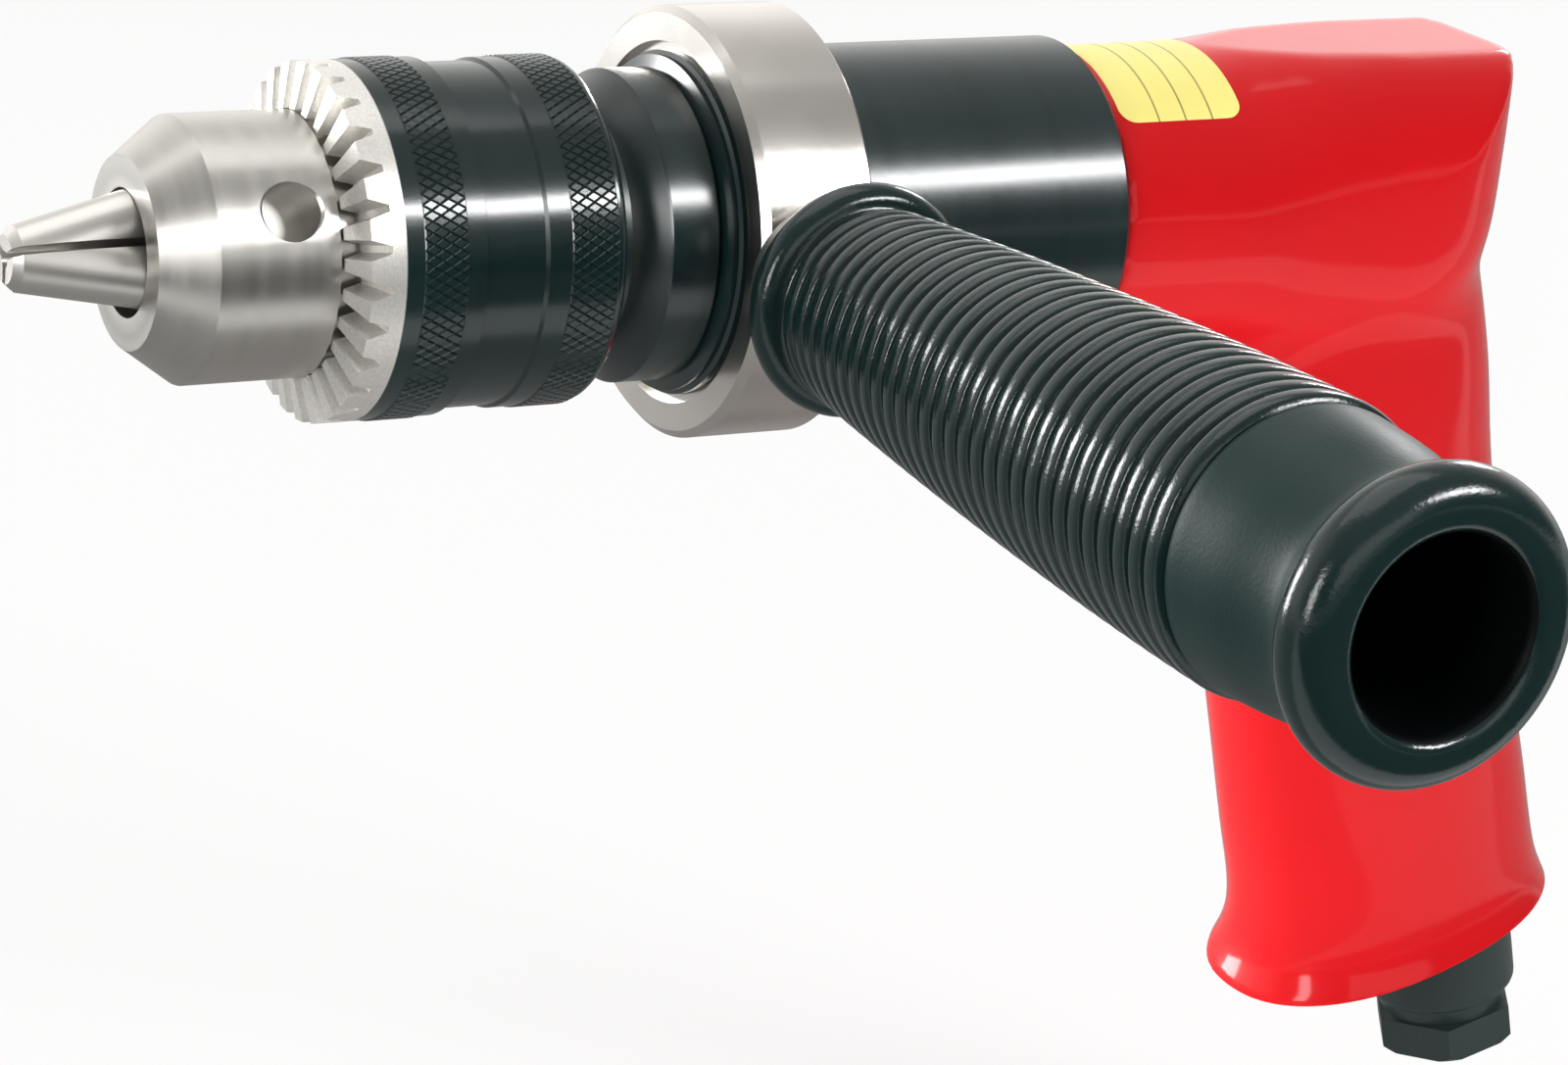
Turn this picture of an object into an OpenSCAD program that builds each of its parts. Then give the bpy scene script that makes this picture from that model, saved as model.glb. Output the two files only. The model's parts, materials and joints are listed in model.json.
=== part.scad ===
// Pistol-grip reversible air drill with a keyed chuck, a two-stage planetary
// gear case, a vane motor and a screw-in side handle. Millimetres.
// The spindle runs along X with the chuck at the low end, Z is up, and the
// side handle points to -Y. The origin is the centre of the closed jaws' tips.

/* [Chuck] */
// Radius of the sleeve at its front band
sleeve_r = 20.8; // [20.6:0.1:22]
// Length of the sleeve, key teeth included
sleeve_len = 33.3; // [32.5:0.1:36]
// Radius of the ground nose
nose_r = 15.4; // [15.2:0.1:15.9]
// Length of the nose in front of the sleeve
nose_len = 20.3; // [19:0.1:22]
// How far the closed jaws stand out of the nose
jaw_reach = 14; // [12:0.1:15]
// Radius of one jaw pin
jaw_r = 3.9; // [3.6:0.05:4]
// Slope of the jaws against the spindle, degrees
jaw_angle = 15; // [14.5:0.1:15.2]
// Radius of the shank that the closed jaws hold
bit_r = 1; // [0.8:0.1:1.5]
// Largest shank radius that the open jaws take
bit_open_r = 6.5; // [5:0.1:6.5]
// Teeth on the sleeve for the chuck key
key_teeth = 28; // [24:1:32]
// Radius of the key pilot holes
key_r = 3.5; // [3:0.1:3.8]

/* [Gear case] */
// Radius of the black barrel
barrel_r = 20.5; // [20.3:0.1:21.5]
// Length of the barrel from the clamp ring's front to the housing
barrel_len = 53.3; // [52:0.1:56]
// Length of the turned nose in front of the clamp ring
case_nose_len = 12.8; // [12:0.1:15]
// Gear module
gear_module = 0.7; // [0.68:0.01:0.7]
// Face width of the output planets
output_planet_w = 11; // [9:0.1:11.5]
// Face width of the input planets
input_planet_w = 9.8; // [8:0.1:10.5]

/* [Motor] */
// Radius of the rotor
rotor_r = 12; // [11:0.1:12.1]
// Length of the motor cylinder
cylinder_len = 41; // [38:0.1:44]
// Radius of the cylinder's bore
cylinder_bore_r = 14.2; // [14.2:0.1:14.6]
// Offset of the bore from the rotor
cylinder_offset = 1.9; // [1.6:0.05:2]
// Outer radius of the motor parts in the housing
motor_r = 17; // [16.9:0.05:17.1]

/* [Housing] */
// Half width of the motor body
body_half_w = 19; // [19:0.1:20.5]
// Half height of the motor body before its top is planed flat
body_half_h = 20.4; // [20:0.1:21.5]
// Height of the flat top above the spindle
flat_top_z = 19.35; // [19:0.05:20]
// Wall behind the motor
rear_wall = 9.8; // [6:0.1:12]
// Half depth of the pistol grip, front to back
grip_half_d = 21; // [20.8:0.1:23]
// Half width of the pistol grip
grip_half_w = 16; // [15.8:0.1:18]
// Length of the grip along its slope, from the spindle line to the base
grip_len = 109.5; // [108:0.1:116]
// Backward slope of the grip, degrees
grip_rake = 14.1; // [13:0.1:15]
// Length of the yellow name plate along the barrel
plate_len = 17.4; // [12:0.1:18]

/* [Trigger and valves] */
// Trigger travel
trigger_travel = 3.6; // [3:0.1:3.6]
// Width of the trigger
trigger_w = 11; // [9:0.1:12]
// Height of the trigger
trigger_h = 18; // [15:0.1:20]
// Span of the reverse lever, tip to tip
lever_span = 28; // [22:0.1:30]

/* [Inlet and exhaust] */
// Radius of the inlet's hexagon, corner to centre
hex_r = 10.2; // [9.6:0.1:10.6]
// Height of the inlet's hexagon
hex_h = 5.2; // [4:0.1:7]
// Radius of the inlet's thread
inlet_r = 5.9; // [5.5:0.1:6.4]
// Radius of the round collar above the hexagon
collar_r = 10.3; // [10:0.1:11]

/* [Side handle] */
// Wall of the clamp ring around the barrel
ring_wall = 5.3; // [4.5:0.1:6.5]
// Width of the clamp ring
ring_w = 14.6; // [13:0.1:16]
// Length of the grip sleeve
side_grip_len = 117.3; // [110:0.1:125]
// Grip radius at its first rib
side_grip_r0 = 11.8; // [11.4:0.1:12.5]
// Grip radius at its last rib
side_grip_r1 = 16.2; // [15.8:0.1:16.6]
// Ribs on the grip
rib_count = 29; // [20:1:32]
// Radius of the hollow in the grip's end
hollow_r = 10.2; // [9:0.1:10.6]

/* [Hidden] */

// Shared clearances and finish
turn_fn = 96;
small_fn = 48;
over = 1;
fit_gap = 0.02;
run_gap = 0.05;
side_gap = 0.2;

// Chuck, from the jaw tips rearward
jaw_count = 3;
jaw_tip_r = 3.5;
jaw_slot = 1;
jaw_tip_bevel = 0.7;
jaw_len = 37.3;
jaw_pitch_r0 = jaw_tip_r - jaw_r / cos(jaw_angle);
jaw_travel = (bit_open_r - bit_r) / sin(jaw_angle);
nose_x = jaw_reach;
nose_front_r = 11.15;
nose_cone_len = 5.7;
mouth_r = 7.4;
mouth_len = 3;
bit_hole_r = 6.6;
key_setback = 5.7;
key_bevel = 0.35;
key_floor_r = 9.5;
sleeve_x = nose_x + nose_len;
key_x = sleeve_x - key_setback;
sleeve_lip = 2.7;
seam_gap = 0.3;
seam_drop = 0.9;
nut_slot_len = 7.4;
nut_slot_r = 12.8;
nut_r = 17.5;
nut_split = 0.4;
nut_x = sleeve_x + sleeve_lip;
nut_end = nut_x + nut_slot_len;
cavity_r = 18.9;
sleeve_end = sleeve_x + sleeve_len;
body_rear_r = 17.8;
body_proud = 0.3;
body_end = sleeve_end + body_proud;
tooth_lean = 1.1;
tooth_depth_in = 2.1;
tooth_depth_out = 2.5;
tooth_floor_w = 0.8;
tooth_mouth_w = 1.4;
band_front_len = 10.3;
recess_len = 7.1;
recess_drop = 0.7;
rear_band_drop = 0.35;
edge_len = 0.4;
sleeve_round = 1.4;
silver_len = 5.3;
screw_web_share = 0.12;
screw_web_x = nut_end - screw_web_share * nut_slot_len;
screw_head_r = 5.2;
screw_head_len = 3.4;
screw_r = 3;
screw_len = 18.5;
screw_socket_r = 2.6;
thread_r = 6.35;
thread_len = 17.2;

// Spindle, bearing and bush
collar_spindle_r = 9;
journal_r = 7.5;
case_gap = 1.3;
case_x = body_end + case_gap;
spindle_bearing_setback = 3.8;
spindle_bearing_w = 9;
spindle_bearing_r = 16;
spindle_ball_r = 2.3;
spindle_ball_pitch_r = 11.75;
spindle_balls = 8;
spindle_bearing_x = case_x + spindle_bearing_setback;
spindle_bearing_end = spindle_bearing_x + spindle_bearing_w;
seal_w = 2.4;
seal_r = 13;
bush_setback = 4;
bush_w = 10;
bush_x = spindle_bearing_end + bush_setback;
bush_end = bush_x + bush_w;
case_bore_r = motor_r;

// Planet stages
sun_teeth = 12;
planet_teeth = 15;
ring_teeth = sun_teeth + 2 * planet_teeth;
planet_count = 3;
pressure_angle = 25;
flank_steps = 3;
backlash = 0.06;
addendum_share = 0.8;
dedendum_share = 1.1;
gear_add = gear_module * addendum_share;
gear_ded = gear_module * dedendum_share;
planet_orbit_r = gear_module * (sun_teeth + planet_teeth) / 2;
pin_r = 1.75;
pin_proud = 0.5;
carrier_r = 13.4;
output_carrier_w = 4;
input_carrier_w = 3.8;
stage_gap = 0.4;
bush_gap_share = 2.5;
sun_gap_share = 3;
output_carrier_x = bush_end + bush_gap_share * stage_gap;
output_planet_x = output_carrier_x + output_carrier_w + stage_gap;
output_planet_end = output_planet_x + output_planet_w;
input_carrier_x = output_planet_end + sun_gap_share * stage_gap;
input_planet_x = input_carrier_x + input_carrier_w + stage_gap;
input_planet_end = input_planet_x + input_planet_w;
ring_gear_x = output_carrier_x - stage_gap;

// Motor
plate_setback = 2.6;
front_plate_w = 8.8;
rear_plate_w = 8;
front_plate_x = input_planet_end + plate_setback;
cylinder_x = front_plate_x + front_plate_w;
cylinder_end = cylinder_x + cylinder_len;
rear_plate_end = cylinder_end + rear_plate_w;
rotor_end_gap = 0.2;
rotor_bearing_r = 9.5;
front_bearing_w = 5;
front_bearing_lip = 0.8;
front_bearing_bore_r = 5;
front_ball_r = 0.85;
front_ball_pitch_r = 7.3;
front_bearing_end = cylinder_x - front_bearing_lip;
front_bearing_x = front_bearing_end - front_bearing_w;
rear_bearing_w = 6;
rear_bearing_lip = 1;
rear_bearing_bore_r = 4;
rear_ball_r = 1.15;
rear_ball_pitch_r = 6.8;
rear_bearing_x = cylinder_end + rear_bearing_lip;
rear_bearing_end = rear_bearing_x + rear_bearing_w;
rotor_balls = 9;
cage_half_h_share = 0.5;
cage_w_share = 0.45;
vane_count = 5;
vane_t = 1.5;
vane_h = 5.6;
vane_slot_gap = 0.05;
port_r = 2;
port_count = 3;
port_pitch = 7;

// Gear case outline
ring_x = case_x + case_nose_len;
ring_end = ring_x + ring_w;
case_end = ring_x + barrel_len;
case_face_r = 15.2;
case_face_len = 1.2;
case_cone_len = 3.6;
case_rim_bevel = 0.5;
neck_r = 18.6;
neck_gap = 0.6;
neck_len = 5.8;
shoulder_r = 20;
barrel_bevel = 0.9;
spigot_r = 18.8;
spigot_len = 9.5;

// Housing
bore_end = rear_plate_end + side_gap;
housing_rear = bore_end + rear_wall;
housing_x = case_end + side_gap;
body_len = housing_rear - housing_x;
grip_setback = 23.2;
grip_x = housing_rear - grip_setback;
grip_point_count = 28;
body_side_steps = 16;
flat_edge_angle = 86;
// Sections of the motor body: place, width, height, then the squareness
body_shares = [[0, 1.005, 0.936, 2], [0.14, 1.01, 0.941, 2], [0.29, 1.016, 0.946, 2],
  [0.4, 1.005, 0.968, 2.2], [0.5, 1, 0.988, 2.45], [0.62, 0.995, 1, 2.6], [0.7, 0.99, 1.008, 2.7]];
// The rear corner, seen from above, and the rounding under the rear
rear_corner_r = 14.8;
rear_under_r = 20;
rear_share = 0.99;
rear_h_share = 1.01;
rear_squareness = 2.7;
rear_steps = 7;
rear_keel = 2.5;
// Sections of the grip: place, depth, width, then the shift to the rear
grip_shares = [[0.055, 0.96, 0.9, 0.03], [0.128, 1.005, 0.965, 0.045], [0.2, 1.02, 0.99, 0.035],
  [0.274, 1.02, 1, 0.02], [0.36, 1.005, 1, 0.005], [0.457, 1, 1, 0], [0.685, 1.014, 1, 0.014],
  [0.81, 1.03, 1.01, 0.03], [0.886, 1.03, 1.025, 0.04], [0.93, 1.05, 1.045, 0.0375],
  [0.96, 1.095, 1.09, 0.028], [0.98, 1.14, 1.14, 0.012], [0.993, 1.178, 1.178, -0.002],
  [1, 1.185, 1.185, -0.005]];
grip_squareness = 2.25;
plate_t = 0.2;
plate_setback_front = 1;
plate_angle = 92;

// Trigger train
trigger_z = -38;
trigger_top_z = -32;
trigger_front_setback = 16.2;
trigger_depth = 9.9;
finger_r = 13;
finger_share = 0.8;
rod_r = 2;
rod_tip_r = 1;
rod_tip_len = 5.6;
rod_grip_len = 6.4;
trigger_bush_r = 3.4;
trigger_bush_len = 17.6;
trigger_pocket_r = 3.7;
trigger_pocket_len = 4;
trigger_coil_r = 2.85;
trigger_wire_r = 0.33;
trigger_coils = 5;
coil_steps = 8;
wire_sides = 6;

// Throttle and inlet column, measured down the grip
inlet_u = 8.8;
valve_bore_r = 6.5;
valve_passage_r = 6;
seat_t = 50;
seat_h = 4;
seat_hole_r = 3.6;
valve_head_r = 5.2;
valve_head_h = 2.5;
valve_stem_r = 1.3;
valve_stem_h = 15.5;
valve_lift_gap = 0.2;
valve_coil_r = 4.4;
valve_wire_r = 0.5;
valve_coils = 7;
screen_h = 12.6;
screen_gap = 0.3;
screen_wall = 0.5;
screen_hole_r = 1;
screen_holes = 8;
stem_r = 9;
stem_h = 12.5;
collar_h = 12.4;
collar_seat_h = 3.4;
neck_h = 2.6;
inlet_neck_r = 9;
inlet_throat_r = 4.5;
collar_round = 1.3;
hex_bevel = 0.8;
hex_bevel_share = 1.5;
seal_wire_r = 0.55;
seal_setback = 5.5;
passage_top_t = 24;
valve_t = seat_t + seat_h + valve_lift_gap;
spring_t = valve_t + valve_head_h + valve_lift_gap;
stem_t = grip_len - stem_h;
screen_t = stem_t - screen_gap - screen_h;
spring_len = screen_t - valve_lift_gap - spring_t;

// Exhaust, measured down the grip
exhaust_u = -9.5;
exhaust_y = 8.6;
exhaust_r = 3.8;
exhaust_top_t = 10;
base_tilt = 4;
base_front_share = 1.19;
pocket_u = -10.2;
pocket_r = 8;
pocket_h = 13.5;
muffler_h = 9;
cover_h = 2.8;
cover_recess = 0.5;
cover_holes = 6;
cover_hole_r = 1.25;
cover_hole_orbit_r = 5.2;
cover_screw_r = 1.2;
cover_screw_head_r = 2.4;
cover_screw_head_h = 1.2;
cover_screw_len = 18;

// Reverse valve
reverse_z = -26;
reverse_r = 4;
reverse_len = 25.4;
reverse_gap = 1;
reverse_port_share = 0.75;
lever_t = 4;
lever_hub_r = 5;
lever_h = 4.2;
lever_screw_r = 1.25;
lever_screw_len = 9;
lever_screw_head_r = 2.6;
lever_screw_head_h = 2;
reverse_port_r = 1.6;

// Side handle, measured out from the spindle
ring_r = barrel_r + ring_wall;
ring_bevel = 0.9;
ring_mouth_gap = 1.1;
ring_mouth_r = barrel_r + ring_mouth_gap;
ring_mouth_len = 1.1;
stud_r = 4;
stud_len = 50;
stud_collar_r = 9.2;
stud_collar_len = 6.6;
stud_collar_gap = 0.5;
grip_start_l = ring_r + stud_collar_gap + stud_collar_len + side_gap;
flange_r = 13.8;
flange_len = 4.4;
flange_root = 0.9;
rib_zone_share = 0.78;
rib_h = 0.85;
rib_steps = 6;
swell_power = 1.7;
plain_r0_share = 0.965;
plain_r1_share = 0.89;
rim_r = 16.4;
rim_len = 8;
hollow_len = 62;
rim_steps = 10;

// Colours as the photo shows them
steel = [0.72, 0.71, 0.69];
bright_steel = [0.82, 0.8, 0.77];
black_oxide = [0.07, 0.08, 0.08];
black_rubber = [0.05, 0.06, 0.06];
red_paint = [0.86, 0.05, 0.07];
label_yellow = [0.92, 0.88, 0.45];
bronze = [0.66, 0.48, 0.26];
brass_tone = [0.78, 0.65, 0.35];
felt_grey = [0.45, 0.45, 0.42];
fibre_brown = [0.35, 0.22, 0.14];

// A turned shape about the spindle, from points given as place and radius
module lathe(pts) {
  rotate([0, 90, 0]) rotate_extrude($fn = turn_fn) polygon([for (p = pts) [p[1], p[0]]]);
}

module rod(x0, x1, r, fn = turn_fn) {
  translate([x0, 0, 0]) rotate([0, 90, 0]) cylinder(h = x1 - x0, r = r, $fn = fn);
}

module tube(x0, x1, r0, r1) {
  lathe([[x0, r0], [x1, r0], [x1, r1], [x0, r1]]);
}

// Places a child, drawn along +Z, radially at the given angle from the top
module around(angle) rotate([angle, 0, 0]) children();

// Local frame of the pistol grip: X to the rear across it, Z up along it
module in_grip(u, t) {
  translate([grip_x, 0, 0]) rotate([0, -grip_rake, 0]) translate([u, 0, -t]) children();
}

// Local frame of the side handle: Z runs out along it from the spindle
module in_side_handle() {
  translate([ring_x + ring_w / 2, 0, 0]) rotate([90, 0, 0]) children();
}

// Points on an arc, from angle a0 to a1
function arc(c, r, a0, a1, n) =
  [for (i = [0:n]) let (a = a0 + (a1 - a0) * i / n) [c[0] + r * cos(a), c[1] + r * sin(a)]];

// Involute tooth outline
function inv_deg(a) = tan(a) * 180 / PI - a;
function pol(r, a) = [r * cos(a), r * sin(a)];
function half_tooth(z, rho, rp, rb, widen) = 90 / z + widen / rp * 180 / PI
  + inv_deg(pressure_angle) - inv_deg(acos(min(1, rb / rho)));
function gear_points(z, add, ded, widen) =
  let (rp = z * gear_module / 2, rb = rp * cos(pressure_angle), rr = rp - ded, ra = rp + add,
    r0 = max(rr, rb))
  [for (k = [0:z - 1]) let (c = k * 360 / z) each concat(
    rr < rb ? [pol(rr, c - half_tooth(z, r0, rp, rb, widen))] : [],
    [for (i = [0:flank_steps]) let (r = r0 + (ra - r0) * i / flank_steps)
      pol(r, c - half_tooth(z, r, rp, rb, widen))],
    [for (i = [flank_steps:-1:0]) let (r = r0 + (ra - r0) * i / flank_steps)
      pol(r, c + half_tooth(z, r, rp, rb, widen))],
    rr < rb ? [pol(rr, c + half_tooth(z, r0, rp, rb, widen))] : [])];

module spur(x0, x1, z) {
  translate([x0, 0, 0]) rotate([0, 90, 0]) linear_extrude(height = x1 - x0)
    polygon(gear_points(z, gear_add, gear_ded, -backlash));
}

// Skin through rings of points, closed at both ends
module skin(rings) {
  n = len(rings[0]);
  m = len(rings);
  faces = concat(
    [for (i = [0:m - 2]) for (j = [0:n - 1]) let (k = (j + 1) % n) each
      [[i * n + j, (i + 1) * n + j, (i + 1) * n + k], [i * n + j, (i + 1) * n + k, i * n + k]]],
    [for (j = [1:n - 2]) [0, j, j + 1]],
    [for (j = [1:n - 2]) [(m - 1) * n, (m - 1) * n + j + 1, (m - 1) * n + j]]);
  polyhedron(points = [for (r = rings) each r], faces = faces, convexity = 4);
}

function spow(v, p) = sign(v) * pow(abs(v), p);
function oval(a, b, n, count, i) =
  let (q = 360 * i / count) [a * spow(cos(q), 2 / n), b * spow(sin(q), 2 / n)];

// A wound spring along +Z as one unbroken wire
function coil_path(r, length, coils) = [for (i = [0:coils * coil_steps])
  [r * cos(360 * i / coil_steps), r * sin(360 * i / coil_steps), length * i / (coils * coil_steps)]];
function coil_gap(p, wire) = min([for (i = [0:len(p) - 1])
  for (j = [i + coil_steps / 2:len(p) - 1]) norm(p[j] - p[i])]) - 2 * wire;
module coil(r, wire, length, coils) {
  path = coil_path(r, length - 2 * wire, coils);
  echo(str("least gap between the coils ", coil_gap(path, wire)));
  translate([0, 0, wire]) skin([for (i = [0:len(path) - 1]) let (a = 360 * i / coil_steps)
    [for (k = [0:wire_sides - 1]) let (b = -360 * k / wire_sides)
      path[i] + wire * [cos(b) * cos(a), cos(b) * sin(a), sin(b)]]]);
}

// Chuck
module jaw_pin(r, back) {
  translate([0, 0, jaw_pitch_r0]) rotate([0, 90 - jaw_angle, 0])
    translate([0, 0, -jaw_r]) cylinder(h = jaw_len + jaw_r + back, r = r, $fn = small_fn);
}

module jaw(angle) {
  apex = jaw_slot / 2 / sin(180 / jaw_count);
  reach = nose_r + sleeve_r;
  around(angle) difference() {
    intersection() {
      jaw_pin(jaw_r, 0);
      rotate([90, 0, 90]) linear_extrude(height = jaw_len + jaw_r)
        polygon([[0, apex], [reach * sin(60), apex + reach * cos(60)],
          [0, apex + reach], [-reach * sin(60), apex + reach * cos(60)]]);
    }
    rod(-over, jaw_len + jaw_r, bit_r, small_fn);
    lathe([[-over, jaw_tip_r - jaw_tip_bevel - over], [jaw_tip_bevel + over, jaw_tip_r + over],
      [-over, jaw_tip_r + over]]);
  }
}

module jaw_top() color(steel) jaw(0);
module jaw_left() color(steel) jaw(360 / jaw_count);
module jaw_right() color(steel) jaw(2 * 360 / jaw_count);

module chuck_body() color(bright_steel) difference() {
  seam_x = sleeve_x - seam_gap;
  seam_end = sleeve_x + tooth_depth_in + seam_gap;
  lathe([[nose_x, 0], [nose_x, nose_front_r], [nose_x + nose_cone_len, nose_r], [seam_x, nose_r],
    [seam_x, nose_r - seam_drop], [seam_end, nose_r - seam_drop], [seam_end, nose_r], [nut_x, nose_r],
    [nut_x, nut_slot_r], [nut_end, nut_slot_r], [nut_end, body_rear_r], [body_end, body_rear_r],
    [body_end, 0]]);
  rod(nose_x - over, nose_x + mouth_len, mouth_r);
  rod(nose_x, screw_web_x, bit_hole_r);
  rod(screw_web_x - over, body_end, screw_r + fit_gap, small_fn);
  rod(body_end - thread_len - side_gap, body_end + over, thread_r + fit_gap);
  for (k = [0:jaw_count - 1]) around(360 * k / jaw_count)
    jaw_pin(jaw_r + run_gap, jaw_travel + over);
  for (k = [0:jaw_count - 1]) around(180 / jaw_count + 360 * k / jaw_count) {
    translate([key_x, 0, key_floor_r]) cylinder(h = nose_r, r = key_r, $fn = small_fn);
    translate([key_x, 0, nose_r - key_bevel])
      cylinder(h = 2 * key_bevel, r1 = key_r, r2 = key_r + 2 * key_bevel, $fn = small_fn);
  }
}

// Notch between two key teeth, cut from the inner edge out through the rim
module key_notch() {
  rise = tooth_lean - tooth_depth_in + tooth_depth_out;
  run = sleeve_r - nose_r;
  lean = atan(rise / run);
  translate([sleeve_x + tooth_depth_in, 0, nose_r]) rotate([0, lean, 0])
    translate([0, 0, -over]) linear_extrude(height = run + 2 * over)
      polygon([[0, -tooth_floor_w / 2], [0, tooth_floor_w / 2],
        [-tooth_depth_in - over, tooth_mouth_w], [-tooth_depth_in - over, -tooth_mouth_w]]);
}

module chuck_sleeve() color(black_oxide) difference() {
  recess_x = sleeve_x + silver_len + band_front_len;
  rear_band_x = recess_x + recess_len;
  rear_r = sleeve_r - rear_band_drop;
  lathe(concat(
    [[sleeve_x, nose_r + run_gap], [sleeve_x + tooth_lean, sleeve_r],
      [recess_x - edge_len, sleeve_r], [recess_x, sleeve_r - recess_drop],
      [rear_band_x, sleeve_r - recess_drop], [rear_band_x + edge_len, rear_r]],
    arc([sleeve_end - sleeve_round, rear_r - sleeve_round], sleeve_round, 90, 0, 6),
    [[sleeve_end, cavity_r], [nut_end - side_gap / 2, cavity_r], [nut_end - side_gap / 2, nut_r],
      [nut_x, nut_r], [nut_x, nose_r + run_gap]]));
  for (k = [0:key_teeth - 1]) around(360 * k / key_teeth) key_notch();
}

module jaw_nut() color(steel) difference() {
  x0 = nut_x + side_gap;
  x1 = nut_end - side_gap;
  thread_r0 = jaw_tip_r + x0 * tan(jaw_angle) + 2 * run_gap;
  thread_r1 = jaw_tip_r + x1 * tan(jaw_angle) + 2 * run_gap;
  lathe([[x0, thread_r0], [x1, thread_r1], [x1, nut_r - fit_gap], [x0, nut_r - fit_gap]]);
  translate([x0 - over, -nut_split / 2, -sleeve_r])
    cube([x1 - x0 + 2 * over, nut_split, 2 * sleeve_r]);
}

module chuck_screw() color(black_oxide) difference() {
  union() {
    rod(screw_web_x - screw_head_len, screw_web_x, screw_head_r, small_fn);
    rod(screw_web_x - over, screw_web_x + screw_len, screw_r, small_fn);
  }
  rod(screw_web_x - screw_head_len - over, screw_web_x - screw_head_len / 3, screw_socket_r, 6);
}

// Spindle and its supports
module spindle() color(steel) difference() {
  union() {
    rod(body_end - thread_len, body_end + over, thread_r);
    rod(body_end, spindle_bearing_x - run_gap, collar_spindle_r);
    rod(body_end, output_carrier_x + over, journal_r);
    rod(output_carrier_x, output_carrier_x + output_carrier_w, carrier_r);
  }
  rod(body_end - thread_len - over, screw_web_x + screw_len + over, screw_r + fit_gap, small_fn);
  planet_places() rod(output_carrier_x - over, output_planet_x, pin_r + fit_gap, small_fn);
}

module planet_places() for (k = [0:planet_count - 1]) planet_place(k) children();

module planet_place(k) rotate([360 * k / planet_count, 0, 0])
  translate([0, 0, -planet_orbit_r]) children();

module planet_pins(x0, x1) planet_places() rod(x0, x1, pin_r, small_fn);

module planet(k, x0, x1) planet_place(k) difference() {
  spur(x0, x1, planet_teeth);
  rod(x0 - over, x1 + over, pin_r + run_gap, small_fn);
}

module output_planet_pins() color(steel) planet_pins(output_carrier_x, output_planet_end + pin_proud);
module output_planet_1() color(bronze) planet(0, output_planet_x, output_planet_end);
module output_planet_2() color(bronze) planet(1, output_planet_x, output_planet_end);
module output_planet_3() color(bronze) planet(2, output_planet_x, output_planet_end);

module ball_cage(x0, w, pitch_r, ball_r, count) {
  half_h = ball_r * cage_half_h_share;
  half_w = w * cage_w_share;
  tube(x0 + w / 2 - half_w / 2, x0 + w / 2 + half_w / 2, pitch_r - half_h, pitch_r + half_h);
  for (k = [0:count - 1]) around(360 * k / count)
    translate([x0 + w / 2, 0, pitch_r]) sphere(r = ball_r, $fn = small_fn);
}

module spindle_bearing_inner() color(steel) tube(spindle_bearing_x, spindle_bearing_end,
  journal_r + fit_gap, spindle_ball_pitch_r - spindle_ball_r - run_gap);
module spindle_bearing_outer() color(steel) tube(spindle_bearing_x, spindle_bearing_end,
  spindle_ball_pitch_r + spindle_ball_r + run_gap, spindle_bearing_r);
module spindle_bearing_cage() color(brass_tone) ball_cage(spindle_bearing_x, spindle_bearing_w,
  spindle_ball_pitch_r, spindle_ball_r, spindle_balls);

module spindle_bush() color(bronze)
  tube(bush_x, bush_end, journal_r + run_gap, case_bore_r - fit_gap);

module spindle_seal() color(felt_grey) tube(spindle_bearing_x - seal_w - side_gap / 2,
  spindle_bearing_x - side_gap / 2, collar_spindle_r + run_gap, seal_r);

module gear_case() color(black_oxide) difference() {
  neck_x = case_x + case_face_len + case_cone_len;
  neck_end = neck_x + neck_len;
  lathe([[case_x, 0], [case_x, case_face_r], [case_x + case_face_len, case_face_r],
    [neck_x - case_rim_bevel, neck_r - case_rim_bevel], [neck_x, neck_r], [neck_end, neck_r],
    [neck_end + neck_gap, neck_r - neck_gap], [neck_end + 2 * neck_gap, shoulder_r],
    [ring_x - neck_gap / 2, shoulder_r], [ring_x, barrel_r], [case_end - barrel_bevel, barrel_r],
    [case_end, barrel_r - barrel_bevel], [case_end, 0]]);
  rod(case_x - over, ring_x, collar_spindle_r + run_gap + side_gap);
  rod(spindle_bearing_x - seal_w - side_gap / 2, ring_x, seal_r + fit_gap);
  rod(spindle_bearing_x, bush_x, spindle_bearing_r + fit_gap);
  rod(bush_x - side_gap, case_end + over, case_bore_r);
  rod(case_end - spigot_len - side_gap, case_end + over, spigot_r + run_gap);
}

module ring_gear() color(steel) difference() {
  rod(ring_gear_x, front_plate_x - side_gap, case_bore_r - fit_gap);
  translate([ring_gear_x - over, 0, 0]) rotate([0, 90, 0])
    linear_extrude(height = front_plate_x - ring_gear_x + 2 * over)
      polygon(gear_points(ring_teeth, gear_ded, gear_add, backlash));
}

module input_carrier() color(steel) difference() {
  union() {
    spur(output_planet_x - stage_gap / 4, input_carrier_x + over, sun_teeth);
    rod(input_carrier_x, input_carrier_x + input_carrier_w, carrier_r);
  }
  planet_places() rod(input_carrier_x - over, input_planet_x, pin_r + fit_gap, small_fn);
}

module input_planet_pins() color(steel) planet_pins(input_carrier_x, input_planet_end + pin_proud);
module input_planet_1() color(bronze) planet(0, input_planet_x, input_planet_end);
module input_planet_2() color(bronze) planet(1, input_planet_x, input_planet_end);
module input_planet_3() color(bronze) planet(2, input_planet_x, input_planet_end);

// Motor
module vane(t, h) {
  translate([cylinder_x + rotor_end_gap, -t / 2, rotor_r - h])
    cube([cylinder_len - 2 * rotor_end_gap, t, h - run_gap]);
}

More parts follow.
